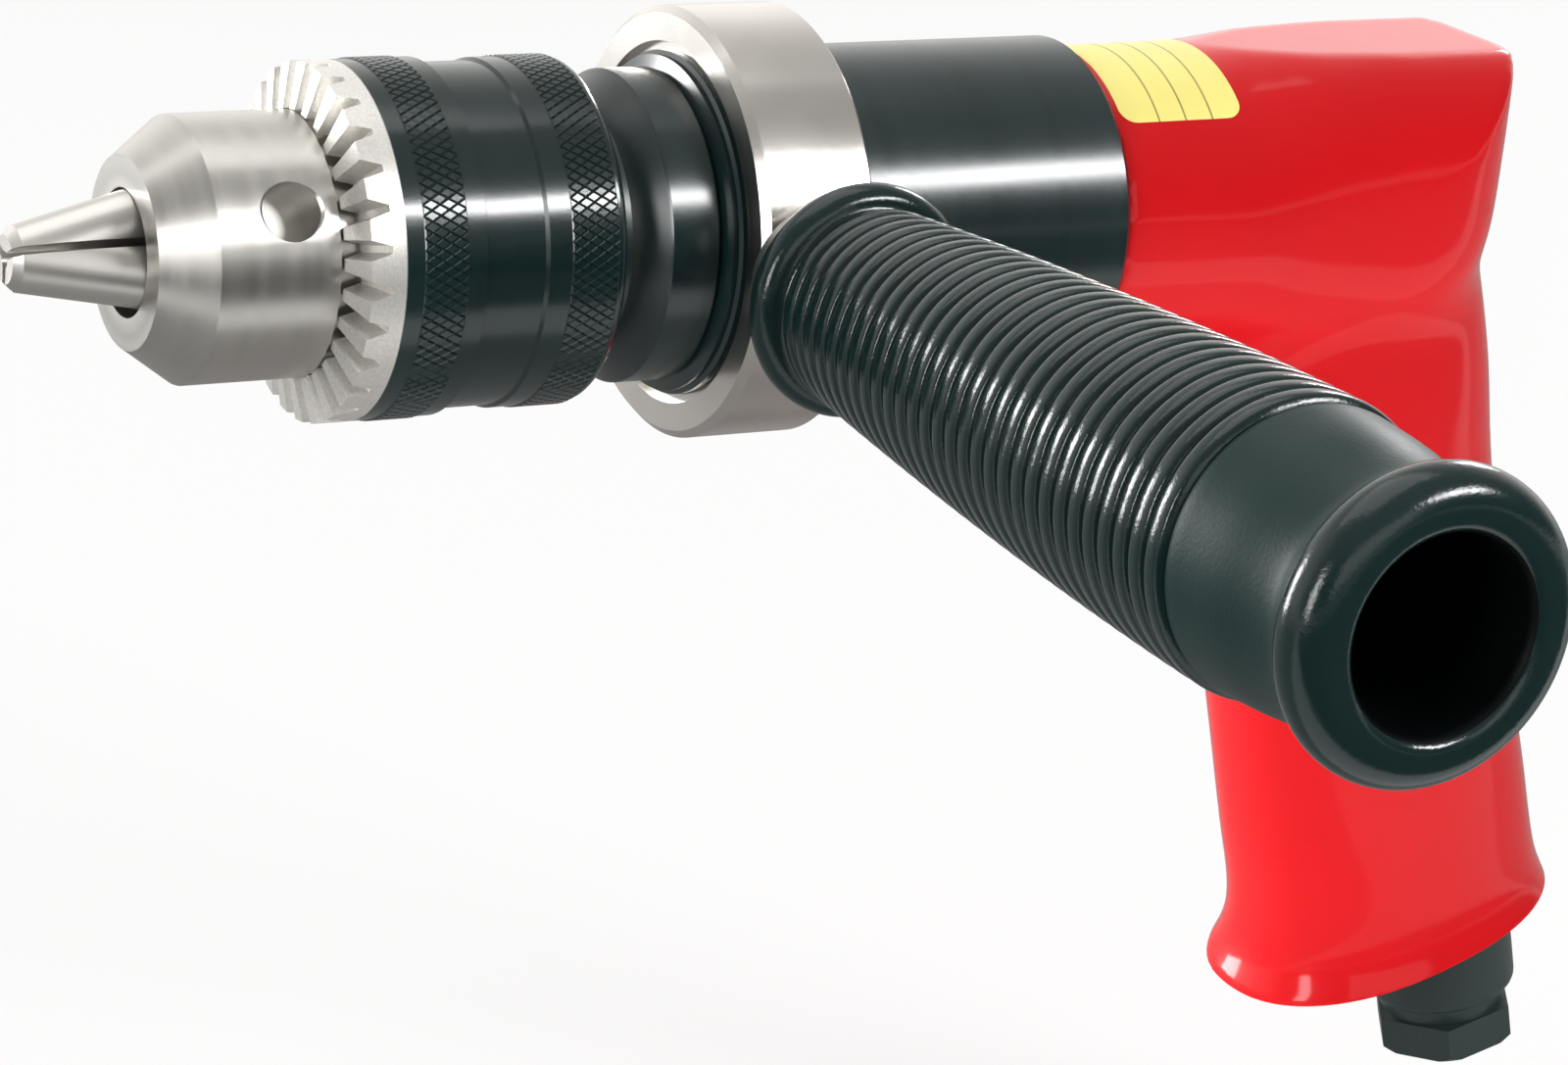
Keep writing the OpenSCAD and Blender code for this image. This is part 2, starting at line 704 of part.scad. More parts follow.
module rotor() color(steel) difference() {
  union() {
    spur(input_planet_x + stage_gap / 4, front_plate_x + over, sun_teeth);
    rod(front_plate_x, cylinder_x + over, front_bearing_bore_r);
    rod(cylinder_x + rotor_end_gap, cylinder_end - rotor_end_gap, rotor_r);
    rod(cylinder_end - over, rear_bearing_end, rear_bearing_bore_r);
  }
  for (k = [0:vane_count - 1]) around(360 * k / vane_count)
    translate([cylinder_x, -vane_t / 2 - vane_slot_gap, rotor_r - vane_h - vane_slot_gap])
      cube([cylinder_len, vane_t + 2 * vane_slot_gap, vane_h + over]);
}

module rotor_vanes() color(fibre_brown)
  for (k = [0:vane_count - 1]) around(360 * k / vane_count) vane(vane_t, vane_h);

module motor_cylinder() color(steel) difference() {
  rod(cylinder_x, cylinder_end, motor_r);
  translate([0, 0, cylinder_offset]) rod(cylinder_x - over, cylinder_end + over, cylinder_bore_r);
  for (k = [0:port_count - 1])
    translate([(cylinder_x + cylinder_end) / 2 + (k - (port_count - 1) / 2) * port_pitch, 0, -motor_r - over])
      cylinder(h = motor_r, r = port_r, $fn = small_fn);
}

module front_end_plate() color(steel) difference() {
  rod(front_plate_x, cylinder_x, motor_r);
  rod(front_plate_x - over, cylinder_x + over, front_bearing_bore_r + side_gap);
  rod(front_plate_x - over, front_bearing_end, rotor_bearing_r + fit_gap);
}

module rear_end_plate() color(steel) difference() {
  rod(cylinder_end, rear_plate_end, motor_r);
  rod(cylinder_end - over, rear_plate_end, rear_bearing_bore_r + side_gap);
  rod(rear_bearing_x, rear_plate_end + over, rotor_bearing_r + fit_gap);
}

module front_rotor_bearing_inner() color(steel) tube(front_bearing_x, front_bearing_end,
  front_bearing_bore_r + fit_gap, front_ball_pitch_r - front_ball_r - run_gap);
module front_rotor_bearing_outer() color(steel) tube(front_bearing_x, front_bearing_end,
  front_ball_pitch_r + front_ball_r + run_gap, rotor_bearing_r);
module front_rotor_bearing_cage() color(brass_tone)
  ball_cage(front_bearing_x, front_bearing_w, front_ball_pitch_r, front_ball_r, rotor_balls);
module rear_rotor_bearing_inner() color(steel) tube(rear_bearing_x, rear_bearing_end,
  rear_bearing_bore_r + fit_gap, rear_ball_pitch_r - rear_ball_r - run_gap);
module rear_rotor_bearing_outer() color(steel) tube(rear_bearing_x, rear_bearing_end,
  rear_ball_pitch_r + rear_ball_r + run_gap, rotor_bearing_r);
module rear_rotor_bearing_cage() color(brass_tone)
  ball_cage(rear_bearing_x, rear_bearing_w, rear_ball_pitch_r, rear_ball_r, rotor_balls);

// Housing
// One side of a section of the motor body, from its keel up to the flat top's edge:
// w is its half width, limit the half width that the plan leaves, h and keel its reach up and down
function body_edge_angle(h, n) =
  h > flat_top_z ? min(flat_edge_angle, asin(pow(flat_top_z / h, n / 2))) : flat_edge_angle;
function body_side(w, limit, h, keel, n) = let (top = body_edge_angle(h, n))
  [for (i = [0:body_side_steps]) let (q = -90 + (top + 90) * i / body_side_steps)
    q < 0 ? [limit * spow(cos(q), 2 / n), keel * spow(sin(q), 2 / n)]
      : [min(w * spow(cos(q), 2 / n), limit), min(h * spow(sin(q), 2 / n), flat_top_z)]];
function body_ring(x, side) =
  concat([for (p = side) [x, p[0], p[1]]],
    [for (i = [body_side_steps:-1:1]) [x, -side[i][0], side[i][1]]]);
function front_ring(s) = let (w = body_half_w * s[1], h = body_half_h * s[2])
  body_ring(housing_x + body_len * s[0], body_side(w, w, h, h, s[3]));
function rear_ring(a) =
  let (w = body_half_w * rear_share, h = body_half_h * rear_h_share,
    x = housing_rear - rear_corner_r * (1 - sin(a)), limit = w - rear_corner_r * (1 - cos(a)),
    rise = rear_under_r - (housing_rear - x), keel = h * sqrt(max(0, 1 - pow(rise / rear_under_r, 2))))
  body_ring(x, body_side(w, limit, h, max(keel, rear_keel), rear_squareness));

module motor_body() skin(concat([for (s = body_shares) front_ring(s)],
  [for (i = [0:rear_steps]) rear_ring(90 * i / rear_steps)]));

module grip_body() in_grip(0, 0)
  skin([for (s = grip_shares) [for (i = [0:grip_point_count - 1])
    let (p = oval(grip_half_d * s[1], grip_half_w * s[2], grip_squareness, grip_point_count, i))
      [grip_half_d * s[3] + p[0], -p[1], -grip_len * s[0]]]]);

module housing() color(red_paint) difference() {
  union() {
    motor_body();
    grip_body();
    rod(case_end - spigot_len, housing_x + over, spigot_r);
  }
  rod(case_end - spigot_len - over, bore_end, motor_r + run_gap);
  translate([0, 0, trigger_z]) {
    rod(0, trigger_bush_x + trigger_bush_len, trigger_bush_r + fit_gap, small_fn);
    rod(trigger_bush_x, valve_x, rod_r + side_gap, small_fn);
  }
  translate([0, 0, reverse_z]) rod(0, reverse_x + reverse_len + over, reverse_r + run_gap, small_fn);
  in_grip(inlet_u, stem_t) translate([0, 0, -grip_len])
    cylinder(h = grip_len, r = stem_r + run_gap, $fn = turn_fn);
  in_grip(inlet_u, grip_len - collar_seat_h) translate([0, 0, -grip_len])
    cylinder(h = grip_len, r = collar_r + run_gap, $fn = turn_fn);
  in_grip(-base_front_share * grip_half_d, grip_len) rotate([0, -base_tilt, 0])
    translate([-grip_half_d, -2 * grip_half_w, -grip_len])
      cube([4 * grip_half_d, 4 * grip_half_w, grip_len]);
  in_grip(inlet_u, stem_t + over) cylinder(h = stem_t + over - seat_t, r = valve_bore_r, $fn = small_fn);
  in_grip(inlet_u, seat_t + over)
    cylinder(h = seat_t + over - passage_top_t, r = valve_passage_r, $fn = small_fn);
  for (side = [-1, 1]) in_grip(exhaust_u, grip_len - pocket_h + over) translate([0, side * exhaust_y, 0])
    cylinder(h = grip_len - pocket_h + over - exhaust_top_t, r = exhaust_r, $fn = small_fn);
  in_grip(pocket_u, grip_len + over) cylinder(h = pocket_h + over, r = pocket_r, $fn = small_fn);
  in_grip(pocket_u, grip_len) cylinder(h = cover_screw_len + over, r = cover_screw_r + fit_gap, $fn = small_fn);
}

module name_plate() color(label_yellow) intersection() {
  x0 = housing_x + plate_setback_front;
  x1 = x0 + plate_len;
  r0 = body_half_w * body_shares[2][1] + run_gap;
  tube(x0, x1, r0, r0 + plate_t);
  rotate([90, 0, 90]) linear_extrude(height = x1 + over)
    polygon([[0, 0], [2 * r0 * sin(plate_angle / 2), 2 * r0 * cos(plate_angle / 2)],
      [-2 * r0 * sin(plate_angle / 2), 2 * r0 * cos(plate_angle / 2)]]);
}

// Trigger train. The grip's front face sets where it starts
trigger_face_x = grip_x - trigger_z * tan(grip_rake) - grip_half_d / cos(grip_rake);
trigger_x = trigger_face_x - trigger_front_setback;
trigger_rear_x = trigger_x + trigger_depth;
trigger_bush_x = trigger_rear_x + trigger_travel + run_gap + side_gap;
valve_x = grip_x + (inlet_u - trigger_z * sin(grip_rake)) / cos(grip_rake);
rod_end_x = valve_x - (valve_stem_r + rod_tip_r * sin(grip_rake)) / cos(grip_rake) - side_gap;
rod_start_x = trigger_rear_x - rod_grip_len;

module trigger() color(black_oxide) difference() {
  translate([trigger_x, -trigger_w / 2, trigger_top_z - trigger_h])
    cube([trigger_depth, trigger_w, trigger_h]);
  translate([trigger_x - finger_r * finger_share, -trigger_w, trigger_top_z - trigger_h / 2]) rotate([-90, 0, 0])
    cylinder(h = 2 * trigger_w, r = finger_r, $fn = turn_fn);
  translate([0, 0, trigger_z]) {
    rod(rod_start_x, trigger_rear_x + over, rod_r + fit_gap, small_fn);
    rod(trigger_rear_x - trigger_pocket_len, trigger_rear_x + over, trigger_pocket_r, small_fn);
  }
}

module trigger_rod() color(steel) translate([0, 0, trigger_z]) {
  rod(rod_start_x, rod_end_x - rod_tip_len, rod_r, small_fn);
  rod(rod_end_x - rod_tip_len - over, rod_end_x, rod_tip_r, small_fn);
}

module trigger_bush() color(brass_tone) translate([0, 0, trigger_z])
  tube(trigger_bush_x, trigger_bush_x + trigger_bush_len, rod_r + run_gap, trigger_bush_r);

module trigger_spring() color(steel)
  translate([trigger_rear_x - trigger_pocket_len + run_gap, 0, trigger_z]) rotate([0, 90, 0])
    coil(trigger_coil_r, trigger_wire_r,
      trigger_bush_x - trigger_rear_x + trigger_pocket_len - 2 * run_gap, trigger_coils);

// Throttle valve
module throttle_valve() color(brass_tone) in_grip(inlet_u, valve_t + valve_head_h) {
  cylinder(h = valve_head_h, r = valve_head_r, $fn = small_fn);
  cylinder(h = valve_head_h + valve_stem_h, r = valve_stem_r, $fn = small_fn);
}

module valve_seat() color(black_rubber) in_grip(inlet_u, seat_t + seat_h) difference() {
  cylinder(h = seat_h - fit_gap, r = valve_bore_r - fit_gap, $fn = small_fn);
  translate([0, 0, -over]) cylinder(h = seat_h + 2 * over, r = seat_hole_r, $fn = small_fn);
}

module valve_spring() color(steel) in_grip(inlet_u, spring_t + spring_len)
  coil(valve_coil_r, valve_wire_r, spring_len, valve_coils);

// Reverse valve
reverse_face_x = grip_x - reverse_z * tan(grip_rake) - grip_half_d / cos(grip_rake);
reverse_x = reverse_face_x - reverse_gap;
lever_x = reverse_x - lever_t;

module reverse_valve() color(brass_tone) translate([0, 0, reverse_z]) difference() {
  rod(reverse_x, reverse_x + reverse_len, reverse_r, small_fn);
  rod(reverse_x - over, reverse_x + lever_screw_len, lever_screw_r + fit_gap, small_fn);
  translate([reverse_x + reverse_len * reverse_port_share, 0, -reverse_r - over])
    cylinder(h = 2 * (reverse_r + over), r = reverse_port_r, $fn = small_fn);
}

module reverse_lever() color(black_oxide) translate([0, 0, reverse_z]) difference() {
  union() {
    rod(lever_x, reverse_x, lever_hub_r, small_fn);
    translate([lever_x, -lever_span / 2 + lever_h / 2, -lever_h / 2])
      cube([lever_t, lever_span - lever_h, lever_h]);
    for (side = [-1, 1]) translate([0, side * (lever_span - lever_h) / 2, 0])
      rod(lever_x, reverse_x, lever_h / 2, small_fn);
  }
  rod(lever_x - over, reverse_x + over, lever_screw_r + fit_gap, small_fn);
}

module reverse_lever_screw() color(steel) translate([0, 0, reverse_z]) difference() {
  union() {
    rod(lever_x - lever_screw_head_h, lever_x, lever_screw_head_r, small_fn);
    rod(lever_x - over, reverse_x + lever_screw_len - over, lever_screw_r, small_fn);
  }
  rod(lever_x - lever_screw_head_h - over, lever_x - lever_screw_head_h / 2, lever_screw_r, 6);
}

// Inlet
inlet_collar_t = grip_len + collar_h;
inlet_hex_t = inlet_collar_t + neck_h;
inlet_end_t = inlet_hex_t + hex_h;

module inlet_bushing() color(black_oxide) in_grip(inlet_u, inlet_end_t) difference() {
  union() {
    intersection() {
      cylinder(h = hex_h, r = hex_r, $fn = 6);
      rotate_extrude($fn = turn_fn) polygon([[0, 0], [hex_r - hex_bevel, 0],
        [hex_r + hex_bevel / 2, hex_bevel_share * hex_bevel], [hex_r + hex_bevel / 2, hex_h], [0, hex_h]]);
    }
    translate([0, 0, hex_h]) rotate_extrude($fn = turn_fn) polygon(concat(
      [[0, -over], [inlet_neck_r - hex_bevel, -over], [inlet_neck_r, neck_h - collar_round / 2]],
      arc([collar_r - collar_round, neck_h + collar_round], collar_round, -90, 0, 6),
      [[collar_r, neck_h + collar_h + collar_seat_h], [stem_r, neck_h + collar_h + collar_seat_h],
        [stem_r, neck_h + collar_h + stem_h], [0, neck_h + collar_h + stem_h]]));
  }
  translate([0, 0, -over]) cylinder(h = hex_h + neck_h + collar_h, r = inlet_r, $fn = turn_fn);
  cylinder(h = inlet_end_t, r = inlet_throat_r, $fn = small_fn);
  translate([0, 0, inlet_end_t - grip_len + seal_setback]) rotate_extrude($fn = turn_fn)
    translate([stem_r - seal_wire_r - run_gap, 0])
      translate([0, -seal_wire_r - run_gap]) square([stem_r, 2 * (seal_wire_r + run_gap)]);
  translate([0, 0, inlet_end_t - grip_len + seal_setback]) rotate_extrude($fn = turn_fn)
    translate([stem_r - seal_wire_r, 0]) circle(r = seal_wire_r + run_gap, $fn = small_fn);
}

module inlet_seal() color(black_rubber) in_grip(inlet_u, grip_len - seal_setback)
  rotate_extrude($fn = turn_fn) translate([stem_r - seal_wire_r, 0])
    circle(r = seal_wire_r, $fn = small_fn);

module inlet_screen() color(brass_tone) in_grip(inlet_u, screen_t + screen_h) difference() {
  cylinder(h = screen_h, r = valve_bore_r - 2 * run_gap, $fn = small_fn);
  translate([0, 0, -over])
    cylinder(h = screen_h + over - screen_wall, r = valve_bore_r - 2 * run_gap - screen_wall, $fn = small_fn);
  for (k = [0:screen_holes - 1]) rotate([0, 0, 360 * k / screen_holes])
    translate([valve_coil_r / 2, 0, 0]) cylinder(h = screen_h + over, r = screen_hole_r / 2, $fn = small_fn);
}

// Exhaust
cover_t = grip_len - cover_recess;

module exhaust_muffler() color(felt_grey) in_grip(pocket_u, cover_t - cover_h - run_gap) difference() {
  cylinder(h = muffler_h, r = pocket_r - run_gap, $fn = small_fn);
  translate([0, 0, -over]) cylinder(h = muffler_h + 2 * over, r = cover_screw_r + run_gap, $fn = small_fn);
}

module exhaust_cover() color(black_oxide) in_grip(pocket_u, cover_t) difference() {
  cylinder(h = cover_h, r = pocket_r - run_gap, $fn = small_fn);
  translate([0, 0, -over]) {
    cylinder(h = cover_h + 2 * over, r = cover_screw_r + fit_gap, $fn = small_fn);
    for (k = [0:cover_holes - 1]) rotate([0, 0, 360 * k / cover_holes])
      translate([cover_hole_orbit_r, 0, 0]) cylinder(h = cover_h + 2 * over, r = cover_hole_r, $fn = small_fn);
  }
}

module exhaust_cover_screw() color(steel) in_grip(pocket_u, cover_t) difference() {
  union() {
    translate([0, 0, -cover_screw_head_h]) cylinder(h = cover_screw_head_h, r = cover_screw_head_r, $fn = small_fn);
    translate([0, 0, -cover_screw_head_h / 2]) cylinder(h = cover_screw_len, r = cover_screw_r, $fn = small_fn);
  }
  translate([0, 0, -cover_screw_head_h - over])
    cylinder(h = over + cover_screw_head_h / 2, r = cover_screw_r, $fn = 6);
}

// Side handle
module clamp_ring() color(bright_steel) difference() {
  lathe([[ring_x, ring_mouth_r], [ring_x, ring_r - ring_bevel], [ring_x + ring_bevel, ring_r],
    [ring_end - ring_bevel / 2, ring_r], [ring_end, ring_r - ring_bevel / 2],
    [ring_end, barrel_r + run_gap], [ring_x + ring_mouth_len, barrel_r + run_gap],
    [ring_x + ring_mouth_len, ring_mouth_r]]);
  in_side_handle() cylinder(h = 2 * ring_r, r = stud_r + run_gap, $fn = small_fn);
}

module handle_stud() color(steel) in_side_handle() {
  translate([0, 0, barrel_r + 2 * run_gap]) cylinder(h = stud_len, r = stud_r, $fn = small_fn);
  translate([0, 0, ring_r + stud_collar_gap])
    cylinder(h = stud_collar_len, r = stud_collar_r, $fn = small_fn);
}

// Outline of the grip sleeve, from its flange to its hollow end
rib_zone = side_grip_len * rib_zone_share - flange_len - flange_root;
rib_start = flange_len + flange_root;
rib_pitch = rib_zone / rib_count;
function swell(q) = side_grip_r0 + (side_grip_r1 - side_grip_r0) * (1 - pow(1 - q, swell_power));
function rib_outline() = [for (k = [0:rib_count - 1]) for (i = [0:rib_steps - 1])
  let (q = (k + i / rib_steps) / rib_count, f = i / rib_steps)
    [swell(q) - rib_h + rib_h * sqrt(max(0, 1 - pow(2 * f - 1, 2))), rib_start + q * rib_zone]];

module side_grip() color(black_rubber) in_side_handle() translate([0, 0, grip_start_l]) difference() {
  rim_x = side_grip_len - rim_len;
  rim_core_r = rim_r - rim_len / 2;
  rotate_extrude($fn = turn_fn) polygon(concat(
    [[0, 0], [stud_collar_r, 0]],
    arc([flange_r - flange_len / 2, flange_len / 2], flange_len / 2, -90, 90, rim_steps),
    [[side_grip_r0 - rib_h, flange_len + flange_root / 2]],
    rib_outline(),
    [[side_grip_r1 - rib_h, rib_start + rib_zone],
      [side_grip_r1 * plain_r0_share, rib_start + rib_zone + flange_root],
      [side_grip_r1 * plain_r1_share, rim_x - flange_root]],
    arc([rim_core_r, rim_x + rim_len / 2], rim_len / 2, -60, 90, rim_steps),
    [[0, side_grip_len]]));
  translate([0, 0, -over]) cylinder(h = side_grip_len, r = stud_r + fit_gap, $fn = small_fn);
  translate([0, 0, side_grip_len - hollow_len]) cylinder(h = hollow_len + over, r = hollow_r, $fn = turn_fn);
}

jaw_top();
jaw_left();
jaw_right();
chuck_body();
chuck_sleeve();
jaw_nut();
chuck_screw();
spindle();
output_planet_pins();
output_planet_1();
output_planet_2();
output_planet_3();
spindle_bearing_inner();
spindle_bearing_outer();
spindle_bearing_cage();
spindle_bush();
spindle_seal();
gear_case();
ring_gear();
input_carrier();
input_planet_pins();
input_planet_1();
input_planet_2();
input_planet_3();
rotor();
rotor_vanes();
motor_cylinder();
front_end_plate();
rear_end_plate();
front_rotor_bearing_inner();
front_rotor_bearing_outer();
front_rotor_bearing_cage();
rear_rotor_bearing_inner();
rear_rotor_bearing_outer();
rear_rotor_bearing_cage();
housing();
name_plate();
trigger();
trigger_rod();
trigger_bush();
trigger_spring();
throttle_valve();
valve_seat();
valve_spring();
reverse_valve();
reverse_lever();
reverse_lever_screw();
inlet_bushing();
inlet_screen();
inlet_seal();
exhaust_muffler();
exhaust_cover();
exhaust_cover_screw();
clamp_ring();
handle_stud();
side_grip();
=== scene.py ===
"""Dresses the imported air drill: finishes, smooth castings, knurling, ribbed side grip, studio and camera."""

import json
import math

import bmesh
import bpy
from bpy.props import FloatProperty, FloatVectorProperty, IntProperty, PointerProperty
from mathutils import Matrix, Vector
from mathutils.bvhtree import BVHTree


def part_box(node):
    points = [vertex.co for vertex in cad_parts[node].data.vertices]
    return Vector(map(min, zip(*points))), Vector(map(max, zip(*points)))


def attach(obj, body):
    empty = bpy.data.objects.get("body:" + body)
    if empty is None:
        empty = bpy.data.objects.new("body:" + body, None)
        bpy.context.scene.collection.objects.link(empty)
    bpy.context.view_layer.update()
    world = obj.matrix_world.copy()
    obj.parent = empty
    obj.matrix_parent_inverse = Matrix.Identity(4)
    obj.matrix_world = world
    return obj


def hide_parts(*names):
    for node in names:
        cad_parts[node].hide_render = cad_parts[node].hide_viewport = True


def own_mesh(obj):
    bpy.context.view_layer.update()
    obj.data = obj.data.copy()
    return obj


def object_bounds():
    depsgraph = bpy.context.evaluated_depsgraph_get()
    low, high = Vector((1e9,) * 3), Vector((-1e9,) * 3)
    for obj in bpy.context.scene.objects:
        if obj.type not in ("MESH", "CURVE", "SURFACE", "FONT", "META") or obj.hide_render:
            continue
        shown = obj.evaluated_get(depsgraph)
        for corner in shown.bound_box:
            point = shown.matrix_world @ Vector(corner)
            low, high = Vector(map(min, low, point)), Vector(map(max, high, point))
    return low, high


bl_info = {
    "name": "Air drill looks",
    "version": (1, 0, 0),
    "blender": (4, 5, 0),
    "location": "View3D > Sidebar > Air drill",
    "description": "Finishes and fine shapes for the packed air drill",
    "category": "Object",
}

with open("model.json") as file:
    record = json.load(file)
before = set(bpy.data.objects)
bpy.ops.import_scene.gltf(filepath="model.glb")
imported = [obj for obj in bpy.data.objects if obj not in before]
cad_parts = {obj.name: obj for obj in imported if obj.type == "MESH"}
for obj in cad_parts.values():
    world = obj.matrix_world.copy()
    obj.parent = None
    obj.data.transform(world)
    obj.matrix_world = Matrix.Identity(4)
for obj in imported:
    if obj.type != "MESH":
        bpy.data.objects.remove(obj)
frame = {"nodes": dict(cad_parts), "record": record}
CAD_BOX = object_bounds()
NODES = frame["nodes"]
SPINDLE = Vector((1, 0, 0))
UP = Vector((0, 0, 1))
OUT = Vector((0, -1, 0))


def middle(node):
    low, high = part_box(node)
    return (low + high) / 2


# Sizes and colours a user would change


class ChuckLooks(bpy.types.PropertyGroup):
    steel: FloatVectorProperty(
        name="Ground steel", description="Colour of the nose and jaws", subtype="COLOR",
        default=(0.58, 0.565, 0.53),
    )
    tooth_steel: FloatVectorProperty(
        name="Tooth ring", description="Colour of the bare key teeth", subtype="COLOR",
        default=(0.8, 0.78, 0.74),
    )
    oxide: FloatVectorProperty(
        name="Black oxide", description="Colour of the blackened sleeve", subtype="COLOR",
        default=(0.004, 0.015, 0.0148),
    )
    silver_end: FloatProperty(
        name="Silver ends at", description="Where along the spindle the bare ring turns black",
        unit="LENGTH", default=0.0396,
    )
    knurl_height: FloatProperty(
        name="Knurl height", description="How far the diamonds stand up", unit="LENGTH", default=0.00016
    )
    knurl_count: IntProperty(name="Knurls", description="Diamonds around the sleeve", default=104)
    knurl_length: FloatProperty(
        name="Diamond length", description="Length of a diamond along the spindle", unit="LENGTH",
        default=0.0021,
    )
    knurl_groove: FloatProperty(
        name="Knurl groove", description="Width of the grooves between diamonds", unit="LENGTH",
        default=0.00032,
    )


class HousingLooks(bpy.types.PropertyGroup):
    paint: FloatVectorProperty(
        name="Red enamel", description="Colour of the casting's paint", subtype="COLOR",
        default=(0.83, 0.0065, 0.0115),
    )
    label: FloatVectorProperty(
        name="Label", description="Colour of the blank label", subtype="COLOR", default=(0.77, 0.69, 0.2)
    )
    grain: FloatProperty(
        name="Skin size", description="Size of the grid that joins body and grip", unit="LENGTH",
        default=0.0007,
    )
    soften: IntProperty(name="Softening", description="Rounds of smoothing on all edges", default=3)
    blend: IntProperty(
        name="Blend", description="Rounds of smoothing where the grip leaves the body", default=120
    )
    blend_reach: FloatProperty(
        name="Blend reach", description="How far from the joint the smoothing fades out", unit="LENGTH",
        default=0.012,
    )


class HandleLooks(bpy.types.PropertyGroup):
    vinyl: FloatVectorProperty(
        name="Vinyl", description="Colour of the side grip", subtype="COLOR", default=(0.004, 0.0155, 0.015)
    )
    ribs: IntProperty(name="Ribs", description="Ribs on the side grip", default=29)
    rib_depth: FloatProperty(
        name="Rib depth", description="Depth of the grooves", unit="LENGTH", default=0.00095
    )
    plain: FloatVectorProperty(
        name="Plain stretch", description="Colour of the duller stretch before the rim", subtype="COLOR",
        default=(0.009, 0.026, 0.0245),
    )
    # Painted shade: a near-black colour for the vinyl inside the bore, standing for the shade in the hollow
    hollow: FloatVectorProperty(
        name="Hollow", description="Colour of the unlit bore", subtype="COLOR",
        default=(0.0012, 0.0024, 0.0026),
    )
    steel: FloatVectorProperty(
        name="Ring steel", description="Colour of the clamp ring", subtype="COLOR", default=(0.73, 0.7, 0.66)
    )


class StudioLooks(bpy.types.PropertyGroup):
    azimuth: FloatProperty(name="Azimuth", description="Camera angle about the drill", default=-29.519)
    elevation: FloatProperty(name="Elevation", description="Camera angle above the spindle", default=18.436)
    roll: FloatProperty(name="Roll", description="Tilt of the camera", default=4.915)
    place: FloatVectorProperty(
        name="Camera place", description="Camera position", subtype="XYZ",
        default=(-0.173978, -0.4876, 0.145986),
    )
    lens: FloatProperty(name="Lens", description="Focal length in millimetres", default=109.6)
    floor: FloatVectorProperty(
        name="Floor", description="Colour of the plain floor", subtype="COLOR", default=(0.95, 0.95, 0.95)
    )
    floor_drop: FloatProperty(
        name="Floor drop", description="Room under the air inlet, so that the side handle can swing down",
        unit="LENGTH", default=0.0255,
    )


# Mesh tools


def ring_of(bm, count):
    return bmesh.ops.create_circle(bm, cap_ends=False, radius=1, segments=count)["verts"]


def edges_of(verts):
    chosen = set(verts)
    return list({e for v in verts for e in v.link_edges if e.verts[0] in chosen and e.verts[1] in chosen})


def loft(bm, sections):
    """Joins rings of equal count, given as lists of points, and caps both ends."""
    rings = []
    for points in sections:
        ring = ring_of(bm, len(points))
        for vert, point in zip(ring, points):
            vert.co = point
        rings.append(edges_of(ring))
    for a, b in zip(rings, rings[1:]):
        bmesh.ops.bridge_loops(bm, edges=a + b)
    bmesh.ops.contextual_create(bm, geom=rings[0])
    bmesh.ops.contextual_create(bm, geom=rings[-1])


def turn(bm, outline, centre, axis, side, steps):
    """Spins a closed outline, given as (along, out) pairs, about an axis."""
    verts = [bm.verts.new(centre + axis * a + side * r) for a, r in outline]
    edges = [bm.edges.new(pair) for pair in zip(verts, verts[1:] + verts[:1])]
    bmesh.ops.spin(
        bm, geom=verts + edges, cent=centre, axis=axis, dvec=(0, 0, 0), angle=math.tau, steps=steps,
        use_merge=True, use_duplicate=False,
    )
    weld(bm)


def arc(along, out, radius, start, end, steps):
    """Part of a circle as (along, out) pairs, with angles from straight out."""
    angles = [math.radians(start + (end - start) * i / steps) for i in range(steps + 1)]
    return [(along + radius * math.sin(a), out + radius * math.cos(a)) for a in angles]


def flow(points, steps):
    """Smooth curve through points of any size, spaced by their distance."""
    knots = [0.0]
    for a, b in zip(points, points[1:]):
        knots.append(knots[-1] + math.sqrt(math.dist(a, b)))
    last = len(points) - 1

    def slope(i):
        lo, hi = max(i - 1, 0), min(i + 1, last)
        return [(b - a) / (knots[hi] - knots[lo]) for a, b in zip(points[lo], points[hi])]

    line = []
    for i in range(last):
        span = knots[i + 1] - knots[i]
        m0, m1 = slope(i), slope(i + 1)
        for k in range(steps):
            f = k / steps
            h = (2 * f**3 - 3 * f**2 + 1, f**3 - 2 * f**2 + f, 3 * f**2 - 2 * f**3, f**3 - f**2)
            line.append(tuple(
                h[0] * a + h[1] * span * p + h[2] * b + h[3] * span * q
                for a, b, p, q in zip(points[i], points[i + 1], m0, m1)
            ))
    line.append(tuple(points[last]))
    return line


def power(value, exponent):
    return math.copysign(abs(value) ** exponent, value)


def rod(bm, start, end, radius, steps=64):
    axis = (end - start).normalized()
    turned = axis.to_track_quat("Z", "Y").to_matrix().to_4x4()
    bmesh.ops.create_cone(
        bm, cap_ends=True, segments=steps, radius1=radius, radius2=radius, depth=(end - start).length,
        matrix=Matrix.Translation((start + end) / 2) @ turned,
    )


def shaped(bm, name):
    mesh = bpy.data.meshes.new(name)
    bm.to_mesh(mesh)
    bm.free()
    obj = bpy.data.objects.new(name, mesh)
    bpy.context.scene.collection.objects.link(obj)
    return obj


def baked(obj):
    """Applies every modifier on the object."""
    graph = bpy.context.evaluated_depsgraph_get()
    mesh = bpy.data.meshes.new_from_object(obj.evaluated_get(graph))
    old = obj.data
    obj.modifiers.clear()
    obj.data = mesh
    mesh.name = obj.name
    bpy.data.meshes.remove(old)


def combine(obj, other, operation):
    cut = obj.modifiers.new("combine", "BOOLEAN")
    cut.operation = operation
    cut.solver = "MANIFOLD"
    cut.object = other
    baked(obj)
    bpy.data.objects.remove(other)


